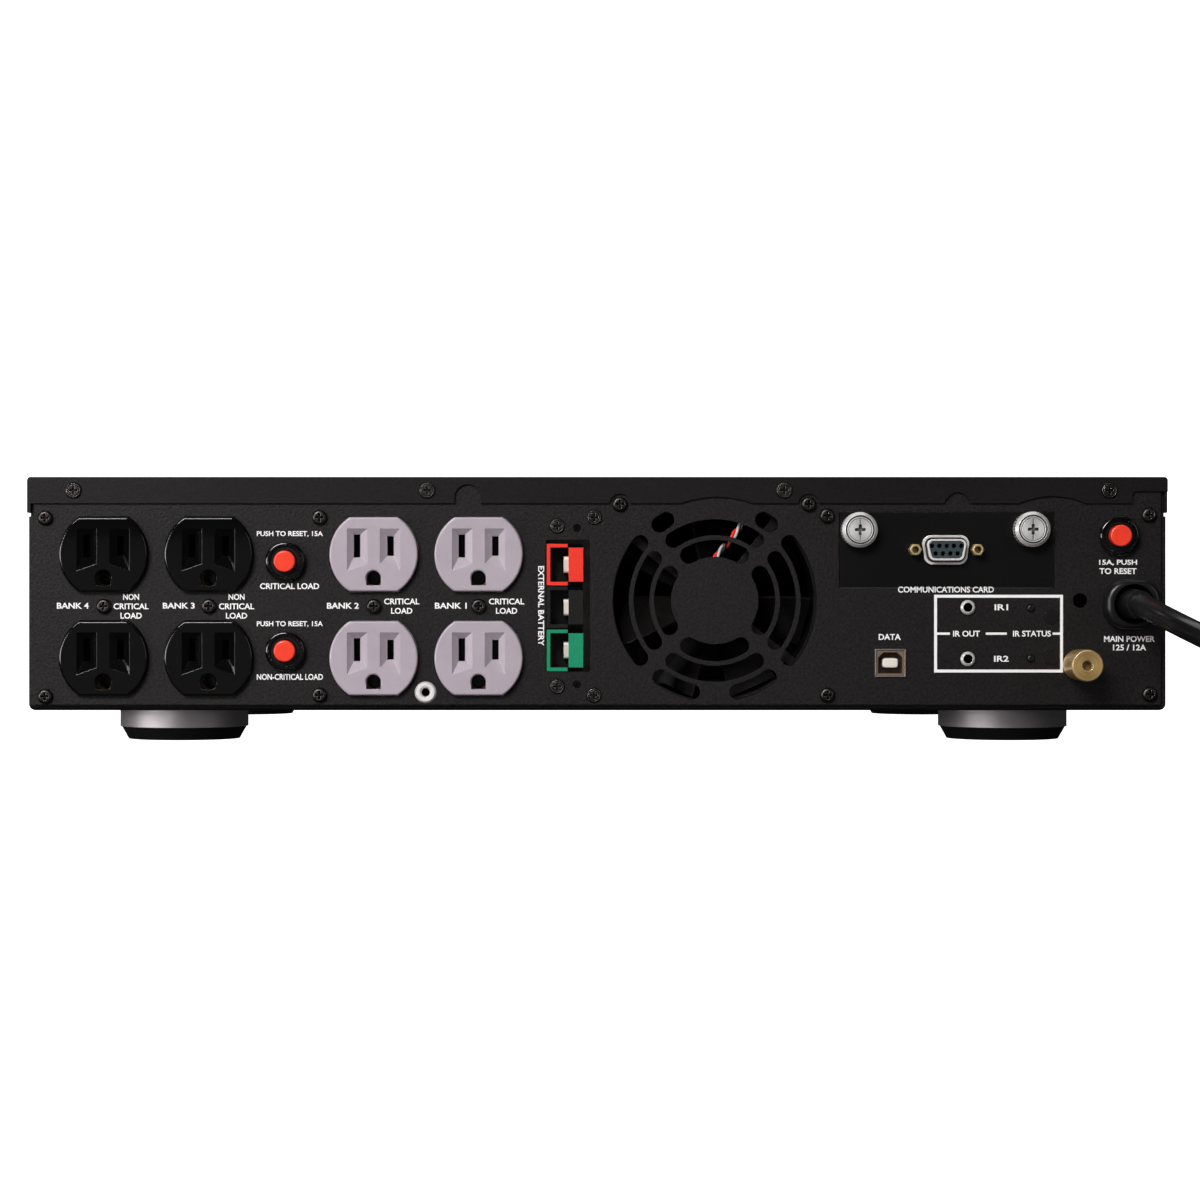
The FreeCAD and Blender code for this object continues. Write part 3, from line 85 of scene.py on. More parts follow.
# %% Grid, lathe and tube
def join(parts):
    """Stack several (points, faces) pairs into one pair, shifting each one's indices."""
    points, faces, start = [], [], 0
    for p, f in parts:
        points.append(p)
        faces += [tuple(int(i) + start for i in face) for face in f]
        start += len(p)
    return np.concatenate(points), faces


def grid(points, close_u=False, close_v=False):
    """Quads over an array of shape (u, v, 3); a closed direction joins its last row to its first."""
    nu, nv = points.shape[:2]
    i = np.arange(nu if close_u else nu - 1)
    j = np.arange(nv if close_v else nv - 1)
    i, j = (a.ravel() for a in np.meshgrid(i, j, indexing="ij"))
    k, m = (i + 1) % nu, (j + 1) % nv
    quads = np.stack([i * nv + j, k * nv + j, k * nv + m, i * nv + m], 1)
    return points.reshape(-1, 3), quads.tolist()


def lathe(profile, steps=64):
    """Turn (radius, along) pairs about the Y axis: point = (r cos t, along, r sin t)."""
    profile = np.array(profile, float)
    t = np.linspace(0, 2 * np.pi, steps, endpoint=False)
    a, b = profile[:, :1] * np.cos(t), profile[:, :1] * np.sin(t)
    along = profile[:, 1:] * np.ones(steps)
    return grid(np.stack([a, along, b], -1), close_v=True)


def ring_along(path, radius, sides, offset):
    """A round tube beside a path: rings across its tangent, each set aside by an (across, up) offset."""
    path = np.array(path, float)
    tangent = np.gradient(path, axis=0)
    tangent /= np.linalg.norm(tangent, axis=1, keepdims=True)
    up = np.where(np.abs(tangent[:, 2:]) < 0.9, [[0, 0, 1.0]], [[1.0, 0, 0]])
    side = np.cross(tangent, up)
    side /= np.linalg.norm(side, axis=1, keepdims=True)
    top = np.cross(side, tangent)
    centre = path + side * offset[:, :1] + top * offset[:, 1:]
    t = np.linspace(0, 2 * np.pi, sides, endpoint=False)
    around = side[:, None] * np.cos(t)[:, None] + top[:, None] * np.sin(t)[:, None]
    return grid(centre[:, None] + radius * around, close_v=True)


def piece(name, made, body, smooth=True, replaces=()):
    """Make an object of (points, faces), with faces outwards, riding on a body."""
    mesh = bpy.data.meshes.new(name)
    mesh.from_pydata(made[0].tolist(), [], made[1])
    mesh.update()
    mesh.validate()
    work = bmesh.new()
    work.from_mesh(mesh)
    bmesh.ops.remove_doubles(work, verts=work.verts, dist=1e-7)
    bmesh.ops.recalc_face_normals(work, faces=work.faces)
    work.to_mesh(mesh)
    work.free()
    mesh.polygons.foreach_set("use_smooth", np.full(len(mesh.polygons), smooth))
    made_object = bpy.data.objects.new(name, mesh)
    bpy.context.scene.collection.objects.link(made_object)
    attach(made_object, body)
    if replaces:
        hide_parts(*replaces)
    print(name, len(mesh.vertices), "points")
    return made_object


# %% [markdown]
# ## Camera
# The rear panel is seen square on, from a little over a metre, at about the middle of its height and a
# little to the left of its middle, so only what stands proud of it shows its side.

# %% Camera
VIEW_WIDTH = 0.4548  # metres across the frame at the rear panel
STAND_OFF = 1.15  # metres from the rear panel
EYE_UP = 0.0419  # above the underside of the chassis
ASIDE = -0.026  # the view comes from a little to the left, with the lens shifted back
camera_data = bpy.data.cameras.new("camera")
camera_data.sensor_width = 36.0
camera_data.lens = 36.0 * STAND_OFF / VIEW_WIDTH
camera = bpy.data.objects.new("camera", camera_data)
camera.location = (0.001 + ASIDE, REAR - STAND_OFF, UNDER + EYE_UP)
camera.rotation_euler = (math.radians(90), 0, 0)
camera_data.shift_x = -ASIDE / VIEW_WIDTH
bpy.context.scene.collection.objects.link(camera)
bpy.context.scene.camera = camera
print("lens", round(camera_data.lens, 1), "mm")

# %% [markdown]
# ## The supply cord
# A 1.8 m three-core lead leaves the strain relief, droops to the right and goes down to the surface.
# The rest is wound into a neat coil beside the unit, with its plug lying on top. The line is one
# NURBS spline through the route's control points, the coil's turns and the bend up to the plug.

# %% Cord
CORD_R = 0.0043
CORD_ROUTE = [
    (0.2018, -0.2208, 0.0540),
    (0.2042, -0.2553, 0.0490),
    (0.2237, -0.2831, 0.0368),
    (0.2545, -0.2930, 0.0219),
    (0.2884, -0.2890, 0.0106),
    (0.3170, -0.2702, 0.0043),
    (0.3377, -0.2472, 0.0043),
]
COIL_R = 0.048
COIL_PITCH = 0.0088
COIL_POINTS = 18  # control points in one turn
LEAVE = math.pi + 8 * math.pi  # angle where the last turn leaves the ring, four turns on
TAIL_R = 0.036
TAIL_TURN = math.radians(150)
PLUG_HALF = 0.012


def cord_points():
    """Route, then a helix of COIL_R, then an arc of TAIL_R that climbs to the plug's height."""
    last, before = np.array(CORD_ROUTE[-1]), np.array(CORD_ROUTE[-2])
    run = last - before
    start = math.atan2(-run[0], run[1])
    centre = last[:2] - COIL_R * np.array([math.cos(start), math.sin(start)])
    count = int(round((LEAVE - start) / (2 * math.pi) * COIL_POINTS))
    turn = np.linspace(start, LEAVE, count + 1)[1:]
    wide = COIL_R / math.cos(math.pi / COIL_POINTS)
    high = CORD_R + COIL_PITCH * (turn - start) / (2 * math.pi)
    helix = np.stack([centre[0] + wide * np.cos(turn), centre[1] + wide * np.sin(turn), high], 1)
    top = high[-1] + CORD_R
    hub = centre + (COIL_R - TAIL_R) * np.array([math.cos(LEAVE), math.sin(LEAVE)])
    share = np.linspace(0, 1, 9)[1:]
    sweep = LEAVE + TAIL_TURN * share
    rise = high[-1] + (top + PLUG_HALF - high[-1]) * (3 * share**2 - 2 * share**3)
    tail = np.stack([hub[0] + TAIL_R * np.cos(sweep), hub[1] + TAIL_R * np.sin(sweep), rise], 1)
    return np.concatenate([CORD_ROUTE, helix, tail]), sweep[-1] + math.pi / 2


cord_line, plug_heading = cord_points()
plug_start = cord_line[-1]
curve = bpy.data.curves.new("supply_cord", "CURVE")
curve.dimensions = "3D"
spline = curve.splines.new("NURBS")
spline.points.add(len(cord_line) - 1)
spline.points.foreach_set("co", np.column_stack([cord_line, np.ones(len(cord_line))]).ravel())
spline.points.foreach_set("radius", np.full(len(cord_line), CORD_R))
spline.order_u = 3
spline.use_endpoint_u = True
spline.resolution_u = 6
curve.bevel_depth = 1.0  # times each point's radius
curve.bevel_resolution = 5
curve.use_fill_caps = True
supply_cord = bpy.data.objects.new("supply_cord", curve)
bpy.context.scene.collection.objects.link(supply_cord)
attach(supply_cord, "chassis")
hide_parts("power_cord", "cord_coil")
print("cord control points", len(cord_line))

# %% [markdown]
# ## The plug
# The plug's body is a loft of rounded squares, swelling from the ribbed relief to the face. Its three
# pins are separate metal pieces. Both follow the heading that the cord has at its end.

# %% Plug
def along_plug(local):
    """Turn points made along +X at the origin to the plug's heading and place."""
    c, s = math.cos(plug_heading), math.sin(plug_heading)
    turn = np.array([[c, s, 0], [-s, c, 0], [0, 0, 1.0]])
    return local @ turn + plug_start


def plug_body():
    """Rings r(t) = (|cos t|^n + |sin t|^n)^(-1/n), n from 2 (round) to 5 (squarish), along +X."""
    x = np.concatenate([np.linspace(0, 26, 27), [26.5, 28, 32, 40, 52, 60, 62.5, 63.6, 64]])
    half_w = np.interp(x, [0, 26, 28, 34, 56, 62.5, 63.6, 64], [5.0, 6.8, 9, 12.6, 13.4, 13.2, 12.6, 0])
    half_h = np.interp(x, [0, 26, 28, 34, 56, 62.5, 63.6, 64], [5.0, 6.8, 8.4, 11.2, 12.0, 11.8, 11.2, 0])
    groove = np.where((x > 3) & (x < 25), 0.55 * (np.cos(x * math.pi) < 0), 0)
    power = np.interp(x, [0, 27, 36], [2, 2, 4.5])[:, None]
    t = np.linspace(0, 2 * np.pi, 48, endpoint=False)
    r = (np.abs(np.cos(t)) ** power + np.abs(np.sin(t)) ** power) ** (-1 / power)
    y = (half_w - groove)[:, None] * r * np.cos(t)
    z = (half_h - groove)[:, None] * r * np.sin(t)
    ring = np.stack([x[:, None] * np.ones_like(y), y, z], -1) * MM
    cap = ring[:1] * [1, 0, 0]
    points, faces = grid(np.concatenate([cap, ring]), close_v=True)
    return along_plug(points), faces


def block(x0, x1, y0, y1, z0, z1):
    """A box as (points, faces), its six faces from a grid closed both ways."""
    x, y, z = np.meshgrid([x0, x1], [y0, y1], [z0, z1], indexing="ij")
    points = np.stack([x, y, z], -1).reshape(-1, 3).astype(float)
    return points, [(0, 1, 3, 2), (4, 6, 7, 5), (0, 4, 5, 1), (2, 3, 7, 6), (0, 2, 6, 4), (1, 5, 7, 3)]


def plug_pins():
    """Two flat blades and a round ground pin with a rounded tip."""
    parts = [block(63.5, 81, s * 6.35 - 0.75, s * 6.35 + 0.75, -0.2, 6.15) for s in (-1, 1)]
    u = np.linspace(0, math.pi / 2, 6)
    profile = [(2.4, 63.5)] + [(2.4 * math.cos(a), 81.0 + 2.4 * math.sin(a)) for a in u]
    p, f = lathe(profile, 24)
    parts.append((np.stack([p[:, 1], p[:, 0], p[:, 2] - 8.5], 1), f))
    points, faces = join(parts)
    return along_plug(points * MM), faces


plug = piece("plug_body", plug_body(), "chassis", True, ["cord_plug"])
pins = piece("plug_pins", plug_pins(), "chassis", False)

# %% [markdown]
# ## Stage and light
# A pale floor runs off into a white background. A large soft box stands at the upper left, a weaker
# one fills from the right, a low one at the left gives the foot rings something bright to mirror, one
# overhead rims the cover, one behind lights the front bezel, and one by the feet stands for the light
# that the floor throws back up.

# %% Floor, lights and world
def floor():
    """One large quad at the height of the feet."""
    corners = np.array([[-6, -4, 0], [6, -4, 0], [6, 1, 0], [-6, 1, 0]], float)
    mesh = bpy.data.meshes.new("floor")
    mesh.from_pydata(corners.tolist(), [], [(0, 1, 2, 3)])
    made = bpy.data.objects.new("floor", mesh)
    bpy.context.scene.collection.objects.link(made)
    return made


def soft_box(name, at, aim, wide, high, energy):
    """A rectangular area light at a point, turned towards another."""
    data = bpy.data.lights.new(name, "AREA")
    data.shape = "RECTANGLE"
    data.size, data.size_y = wide, high
    data.energy = energy
    lamp = bpy.data.objects.new(name, data)
    lamp.location = at
    lamp.rotation_euler = (Vector(aim) - Vector(at)).to_track_quat("-Z", "Y").to_euler()
    bpy.context.scene.collection.objects.link(lamp)
    return lamp


stage_floor = floor()
stage_floor.visible_diffuse = False
stage_floor.visible_glossy = False
soft_box("key", (-0.75, -1.9, 1.05), (0, REAR, 0.05), 1.1, 0.6, 27.0)
soft_box("fill", (1.3, -1.5, 0.5), (0, REAR, 0.05), 0.5, 0.9, 2.0)
soft_box("low_left", (-1.5, -1.35, 0.12), (0, REAR, 0.03), 1.7, 0.4, 11.0)
soft_box("behind", (-0.9, 2.2, 0.9), (0, 0.2, 0.05), 1.2, 0.8, 30.0)
soft_box("overhead", (0, 0.6, 3.0), (0, 0.3, 0), 3.0, 2.0, 25.0)
under = soft_box("under", (0, REAR - 0.16, 0.002), (0, REAR - 0.02, 0.1), 0.5, 0.2, 0.03)
under.visible_camera = False
world = bpy.data.worlds.new("studio")
bpy.context.scene.world = world
world.use_nodes = True
tree = world.node_tree
tree.nodes.clear()
out = tree.nodes.new("ShaderNodeOutputWorld")
dim = tree.nodes.new("ShaderNodeBackground")
dim.inputs["Color"].default_value = (0.9, 0.95, 1.0, 1)
dim.inputs["Strength"].default_value = 0.025
white = tree.nodes.new("ShaderNodeBackground")
white.inputs["Color"].default_value = (1, 1, 1, 1)
white.inputs["Strength"].default_value = 1.05
seen = tree.nodes.new("ShaderNodeLightPath")
choose = tree.nodes.new("ShaderNodeMixShader")
tree.links.new(seen.outputs["Is Camera Ray"], choose.inputs[0])
tree.links.new(dim.outputs[0], choose.inputs[1])
tree.links.new(white.outputs[0], choose.inputs[2])
tree.links.new(choose.outputs[0], out.inputs[0])
bpy.context.scene.view_settings.view_transform = "Standard"
bpy.context.scene.view_settings.exposure = 0.6
bpy.context.scene.view_settings.gamma = 0.87

# %% [markdown]
# ## Shared shader groups
# Several finishes share an effect, so each effect is one node group with named inputs: fine grain
# for textured paint and moulded plastic, brushed streaks, turned rings round an axis with a painted
# sheen, a light dust that settles in patches, a painted highlight on edges that also stands for bare
# worn metal, painted shade in crevices, and painted shade that deepens with depth. A group only puts
# out colours, masks and heights.

# %% Node group helpers
def new_group(name, inputs, outputs):
    """An empty shader group with typed sockets; returns it with its two end nodes."""
    group = bpy.data.node_groups.new(name, "ShaderNodeTree")
    for label, kind, value in inputs:
        socket = group.interface.new_socket(label, in_out="INPUT", socket_type=kind)
        socket.default_value = value
    for label, kind in outputs:
        group.interface.new_socket(label, in_out="OUTPUT", socket_type=kind)
    start = group.nodes.new("NodeGroupInput")
    end = group.nodes.new("NodeGroupOutput")
    return group, start, end


def math_node(tree, operation, a, b=None, clamp=False):
    """A Math node fed by sockets or numbers; returns its output."""
    node = tree.nodes.new("ShaderNodeMath")
    node.operation = operation
    node.use_clamp = clamp
    for socket, value in zip(node.inputs, (a, b)):
        if value is None:
            continue
        if isinstance(value, (int, float)):
            socket.default_value = value
        else:
            tree.links.new(value, socket)
    return node.outputs[0]


def noise(tree, vector, scale, detail=2.0, rough=0.5):
    """A Noise Texture on a vector; scale is a number or a socket."""
    node = tree.nodes.new("ShaderNodeTexNoise")
    node.inputs["Detail"].default_value = detail
    node.inputs["Roughness"].default_value = rough
    if isinstance(scale, (int, float)):
        node.inputs["Scale"].default_value = scale
    else:
        tree.links.new(scale, node.inputs["Scale"])
    tree.links.new(vector, node.inputs["Vector"])
    return node.outputs["Fac"]


def mix_colour(tree, mask, first, second):
    """A colour Mix from first to second by a mask; colours are tuples or sockets."""
    node = tree.nodes.new("ShaderNodeMix")
    node.data_type = "RGBA"
    tree.links.new(mask, node.inputs[0])
    for socket, value in ((node.inputs[6], first), (node.inputs[7], second)):
        if isinstance(value, tuple):
            socket.default_value = (*value, 1)
        else:
            tree.links.new(value, socket)
    return node.outputs[2]


# %% Fine grain
def fine_grain_group():
    """Two noises, one fine and one broad, mixed as a mask, with the fine one as height."""
    group, start, end = new_group(
        "fine_grain",
        [("Scale", "NodeSocketFloat", 900.0), ("Dark", "NodeSocketColor", (0, 0, 0, 1)),
         ("Light", "NodeSocketColor", (1, 1, 1, 1)), ("Contrast", "NodeSocketFloat", 1.0)],
        [("Color", "NodeSocketColor"), ("Height", "NodeSocketFloat"), ("Patch", "NodeSocketFloat")],
    )
    where = group.nodes.new("ShaderNodeTexCoord").outputs["Object"]
    fine = noise(group, where, start.outputs["Scale"], 3.0, 0.6)
    broad = noise(group, where, 14.0, 3.0, 0.6)
    centred = math_node(group, "SUBTRACT", fine, 0.5)
    spread = math_node(group, "MULTIPLY", centred, start.outputs["Contrast"])
    mask = math_node(group, "ADD", spread, 0.4)
    shifted = math_node(group, "ADD", mask, math_node(group, "MULTIPLY", broad, 0.25), True)
    colour = mix_colour(group, shifted, start.outputs["Dark"], start.outputs["Light"])
    group.links.new(colour, end.inputs["Color"])
    group.links.new(fine, end.inputs["Height"])
    group.links.new(broad, end.inputs["Patch"])
    return group


# %% Brushed streaks
def brushed_group():
    """Noise on coordinates stretched a hundredfold along the brushing direction."""
    group, start, end = new_group(
        "brushed_streaks",
        [("Stretch", "NodeSocketVector", (20.0, 20.0, 1500.0)), ("Amount", "NodeSocketFloat", 0.2)],
        [("Height", "NodeSocketFloat"), ("Roughness", "NodeSocketFloat")],
    )
    where = group.nodes.new("ShaderNodeTexCoord").outputs["Object"]
    scaled = group.nodes.new("ShaderNodeVectorMath")
    scaled.operation = "MULTIPLY"
    group.links.new(where, scaled.inputs[0])
    group.links.new(start.outputs["Stretch"], scaled.inputs[1])
    streak = noise(group, scaled.outputs[0], 1.0, 4.0, 0.65)
    group.links.new(streak, end.inputs["Height"])
    rough = math_node(group, "MULTIPLY", streak, start.outputs["Amount"])
    group.links.new(math_node(group, "ADD", rough, 0.22), end.inputs["Roughness"])
    return group


# %% Turned rings
def turned_group():
    """Rings round an axis along Y: the distance from a centre feeds a fine noise, and the angle round the axis
    gives a painted sheen that fans twice a turn.
    """
    group, start, end = new_group(
        "turned_rings",
        [("Centre", "NodeSocketVector", (0.0, 0.0, 0.0)), ("Pitch", "NodeSocketFloat", 3000.0)],
        [("Height", "NodeSocketFloat"), ("Painted_Sheen", "NodeSocketFloat")],
    )
    where = group.nodes.new("ShaderNodeTexCoord").outputs["Object"]
    away = group.nodes.new("ShaderNodeVectorMath")
    away.operation = "SUBTRACT"
    group.links.new(where, away.inputs[0])
    group.links.new(start.outputs["Centre"], away.inputs[1])
    split = group.nodes.new("ShaderNodeSeparateXYZ")
    group.links.new(away.outputs[0], split.inputs[0])
    across, up = (math_node(group, "ABSOLUTE", split.outputs[k]) for k in (0, 2))
    square = math_node(group, "ADD",
                       math_node(group, "POWER", across, 2.0), math_node(group, "POWER", up, 2.0))
    radius = math_node(group, "SQRT", square)
    line = group.nodes.new("ShaderNodeCombineXYZ")
    group.links.new(math_node(group, "MULTIPLY", radius, start.outputs["Pitch"]), line.inputs[0])
    ring = noise(group, line.outputs[0], 1.0, 2.0, 0.5)
    # Painted sheen: tone that rises and falls twice round the axis, as a reflection does on turned metal.
    angle = math_node(group, "ARCTAN2", split.outputs[2], split.outputs[0])
    sheen_fan = math_node(group, "COSINE", math_node(group, "MULTIPLY", angle, 2.0))
    group.links.new(ring, end.inputs["Height"])
    group.links.new(math_node(group, "MULTIPLY", math_node(group, "ADD", sheen_fan, 1.0), 0.5), end.inputs["Painted_Sheen"])
    return group


# %% Dust
def dust_group():
    """A thin pale film on faces that look up, broken by noise, mixed over a colour."""
    group, start, end = new_group(
        "settled_dust",
        [("Base", "NodeSocketColor", (0, 0, 0, 1)), ("Amount", "NodeSocketFloat", 0.15)],
        [("Color", "NodeSocketColor")],
    )
    where = group.nodes.new("ShaderNodeTexCoord").outputs["Object"]
    facing = group.nodes.new("ShaderNodeSeparateXYZ")
    group.links.new(group.nodes.new("ShaderNodeNewGeometry").outputs["Normal"], facing.inputs[0])
    up = math_node(group, "MAXIMUM", facing.outputs[2], 0.12)
    cloud = noise(group, where, 30.0, 5.0, 0.7)
    mask = math_node(group, "MULTIPLY", math_node(group, "MULTIPLY", up, cloud), start.outputs["Amount"], True)
    colour = mix_colour(group, mask, start.outputs["Base"], (0.32, 0.29, 0.26))
    group.links.new(colour, end.inputs["Color"])
    return group


# %% Painted edge highlights and crevice shade
def edge_light_shade_group():
    """Painted highlight where a rounded normal leaves the true one, standing also for bare worn metal; painted
    shade where near surfaces shut out the sky.
    """
    group, start, end = new_group(
        "edge_highlight_and_crevice_shade",
        [("Base", "NodeSocketColor", (0, 0, 0, 1)), ("Bright", "NodeSocketColor", (1, 1, 1, 1)),
         ("Dark", "NodeSocketColor", (0.001, 0.001, 0.001, 1)), ("Radius", "NodeSocketFloat", 0.0002),
         ("Reach", "NodeSocketFloat", 0.0015)],
        [("Color", "NodeSocketColor")],
    )
    soft = group.nodes.new("ShaderNodeBevel")
    soft.samples = 4
    group.links.new(start.outputs["Radius"], soft.inputs["Radius"])
    turn = group.nodes.new("ShaderNodeVectorMath")
    turn.operation = "DOT_PRODUCT"
    group.links.new(soft.outputs[0], turn.inputs[0])
    group.links.new(group.nodes.new("ShaderNodeNewGeometry").outputs["Normal"], turn.inputs[1])
    # Painted highlight: the further the rounded normal turns from the true one, the nearer the colour goes to
    # the edge colour.
    away = math_node(group, "SUBTRACT", 1.0, turn.outputs["Value"])
    edge = math_node(group, "MULTIPLY", away, 9.0, True)
    # Painted shade: where near surfaces shut out the sky, the colour goes towards the dark crevice colour.
    sky = group.nodes.new("ShaderNodeAmbientOcclusion")
    sky.samples = 4
    sky.only_local = True
    group.links.new(start.outputs["Reach"], sky.inputs["Distance"])
    shut = math_node(group, "POWER", sky.outputs["AO"], 1.6, True)
    lit = mix_colour(group, edge, start.outputs["Base"], start.outputs["Bright"])
    group.links.new(mix_colour(group, shut, start.outputs["Dark"], lit), end.inputs["Color"])
    return group


# %% Painted depth shade
def depth_shade_group():
    """Painted shade in a hole: a colour that darkens to another with depth, mask = clamp((y - From) / Over).
    """
    group, start, end = new_group(
        "painted_depth_shade",
        [("Base", "NodeSocketColor", (1, 1, 1, 1)), ("Deep", "NodeSocketColor", (0, 0, 0, 1)),
         ("From", "NodeSocketFloat", 0.0), ("Over", "NodeSocketFloat", 0.002)],
        [("Color", "NodeSocketColor"), ("Mask", "NodeSocketFloat")],
    )
    split = group.nodes.new("ShaderNodeSeparateXYZ")
    group.links.new(group.nodes.new("ShaderNodeTexCoord").outputs["Object"], split.inputs[0])
    past = math_node(group, "SUBTRACT", split.outputs[1], start.outputs["From"])
    mask = math_node(group, "DIVIDE", past, start.outputs["Over"], True)
    group.links.new(mix_colour(group, mask, start.outputs["Base"], start.outputs["Deep"]), end.inputs["Color"])
    group.links.new(mask, end.inputs["Mask"])
    return group


GRAIN, BRUSHED, TURNED, DUST = fine_grain_group(), brushed_group(), turned_group(), dust_group()
EDGE_LIGHT_SHADE, DEPTH_SHADE = edge_light_shade_group(), depth_shade_group()
print("groups", [g.name for g in bpy.data.node_groups])

# %% [markdown]
# ## Finishes
# Each finish is a short function. The Principled shader and its uniform values stay in the material,
# and the groups feed only what changes over the surface.

# %% Material helpers
def finish(name, roughness=0.5, metallic=0.0, coat=0.0, specular=0.5):
    """A material with one Principled shader and its uniform values; returns it with its tree."""
    material = bpy.data.materials.new(name)
    material.use_nodes = True
    shader = material.node_tree.nodes["Principled BSDF"]
    shader.inputs["Roughness"].default_value = roughness
    shader.inputs["Metallic"].default_value = metallic
    shader.inputs["Coat Weight"].default_value = coat
    shader.inputs["Specular IOR Level"].default_value = specular
    return material, material.node_tree, shader


def use(tree, group, **values):
    """Place a shared group and set its inputs; an underscore stands for a space."""
    node = tree.nodes.new("ShaderNodeGroup")
    node.node_tree = group
    for label, value in values.items():
        node.inputs[label.replace("_", " ")].default_value = value
    return node


EDGE = 0.00025  # radius that a finish gives to the sharp edges of a part


def bump(tree, shader, height, distance):
    """Feed a height to the shader's normal through a Bump node on softened edges, in metres."""
    node = tree.nodes.new("ShaderNodeBump")
    node.inputs["Distance"].default_value = distance
    soft = tree.nodes.new("ShaderNodeBevel")
    soft.samples = 4
    soft.inputs["Radius"].default_value = EDGE
    tree.links.new(soft.outputs[0], node.inputs["Normal"])
    tree.links.new(height, node.inputs["Height"])
    tree.links.new(node.outputs[0], shader.inputs["Normal"])


def grained(name, dark, light, scale, depth, roughness, dust=0.1, contrast=1.0, specular=0.5, coat=0.0,
            inner_shade=None):
    """Textured paint or moulded plastic: grain in colour and height, a little dust on top.

    The last argument gives (depth in mm behind the panel's face, mm over which it fades, colour) of a painted
    shade that darkens the inside of an open socket.
    """
    material, tree, shader = finish(name, roughness, 0.0, coat, specular)
    grain = use(tree, GRAIN, Scale=scale, Dark=(*dark, 1), Light=(*light, 1), Contrast=contrast)
    film = use(tree, DUST, Amount=dust)
    tree.links.new(grain.outputs["Color"], film.inputs["Base"])
    colour = film.outputs["Color"]
    # Painted shade inside the socket, darker with depth.
    if inner_shade:
        hole_shade = use(tree, DEPTH_SHADE, From=REAR + inner_shade[0] * MM, Over=inner_shade[1] * MM, Deep=(*inner_shade[2], 1))
        tree.links.new(colour, hole_shade.inputs["Base"])
        colour = hole_shade.outputs["Color"]
    tree.links.new(colour, shader.inputs["Base Color"])
    rough = math_node(tree, "MULTIPLY", grain.outputs["Patch"], 0.14)
    tree.links.new(math_node(tree, "ADD", rough, roughness - 0.07), shader.inputs["Roughness"])
    bump(tree, shader, grain.outputs["Height"], depth)
    return material


def plated(name, colour, stretch, amount=0.2, depth=0.00002, shade=0.75, highlight_tint=None, reach=0.0015, rough=0.0,
           metallic=1.0):
    """Brushed or drawn metal: streaks in height and roughness, a painted highlight on edges (standing also for
    bare worn metal) and painted shade in crevices.
    """
    material, tree, shader = finish(name, 0.3, metallic)
    streaks = use(tree, BRUSHED, Stretch=stretch, Amount=amount)
    grain = use(tree, GRAIN, Scale=60.0, Dark=(*(shade * c for c in colour), 1),
                Light=(*colour, 1), Contrast=2.0)
    # Painted highlight colour for the edges: 1.25 times the metal's colour unless one is given.
    highlight_colour = highlight_tint or tuple(min(1.0, 1.25 * c) for c in colour)
    lit_edges_shaded_hollows = use(tree, EDGE_LIGHT_SHADE, Bright=(*highlight_colour, 1), Reach=reach)
    tree.links.new(grain.outputs["Color"], lit_edges_shaded_hollows.inputs["Base"])
    tree.links.new(lit_edges_shaded_hollows.outputs["Color"], shader.inputs["Base Color"])
    tree.links.new(math_node(tree, "ADD", streaks.outputs["Roughness"], rough), shader.inputs["Roughness"])
    bump(tree, shader, streaks.outputs["Height"], depth)
    return material


def turned(name, colour, centre, roughness, pitch=3000.0, depth=0.00001, metallic=0.5):
    """Lathe-turned metal: rings in height, a painted sheen that fans with the angle, a painted highlight on
    edges and painted shade in grooves.
    """
    material, tree, shader = finish(name, roughness, metallic)
    rings = use(tree, TURNED, Centre=tuple(centre), Pitch=pitch)
    # Painted sheen: the base colour darkens to 0.72 of itself between the bright arms of the fan.
    sheen_fan = mix_colour(tree, rings.outputs["Painted_Sheen"], tuple(0.72 * c for c in colour), tuple(colour))
    lit_edges_shaded_hollows = use(tree, EDGE_LIGHT_SHADE, Bright=(1.0, 0.98, 0.97, 1), Reach=0.003)
    tree.links.new(sheen_fan, lit_edges_shaded_hollows.inputs["Base"])
    tree.links.new(lit_edges_shaded_hollows.outputs["Color"], shader.inputs["Base Color"])
    rough = math_node(tree, "MULTIPLY", rings.outputs["Height"], 0.2)
    tree.links.new(math_node(tree, "ADD", rough, roughness - 0.1), shader.inputs["Roughness"])
    bump(tree, shader, rings.outputs["Height"], depth)
    return material
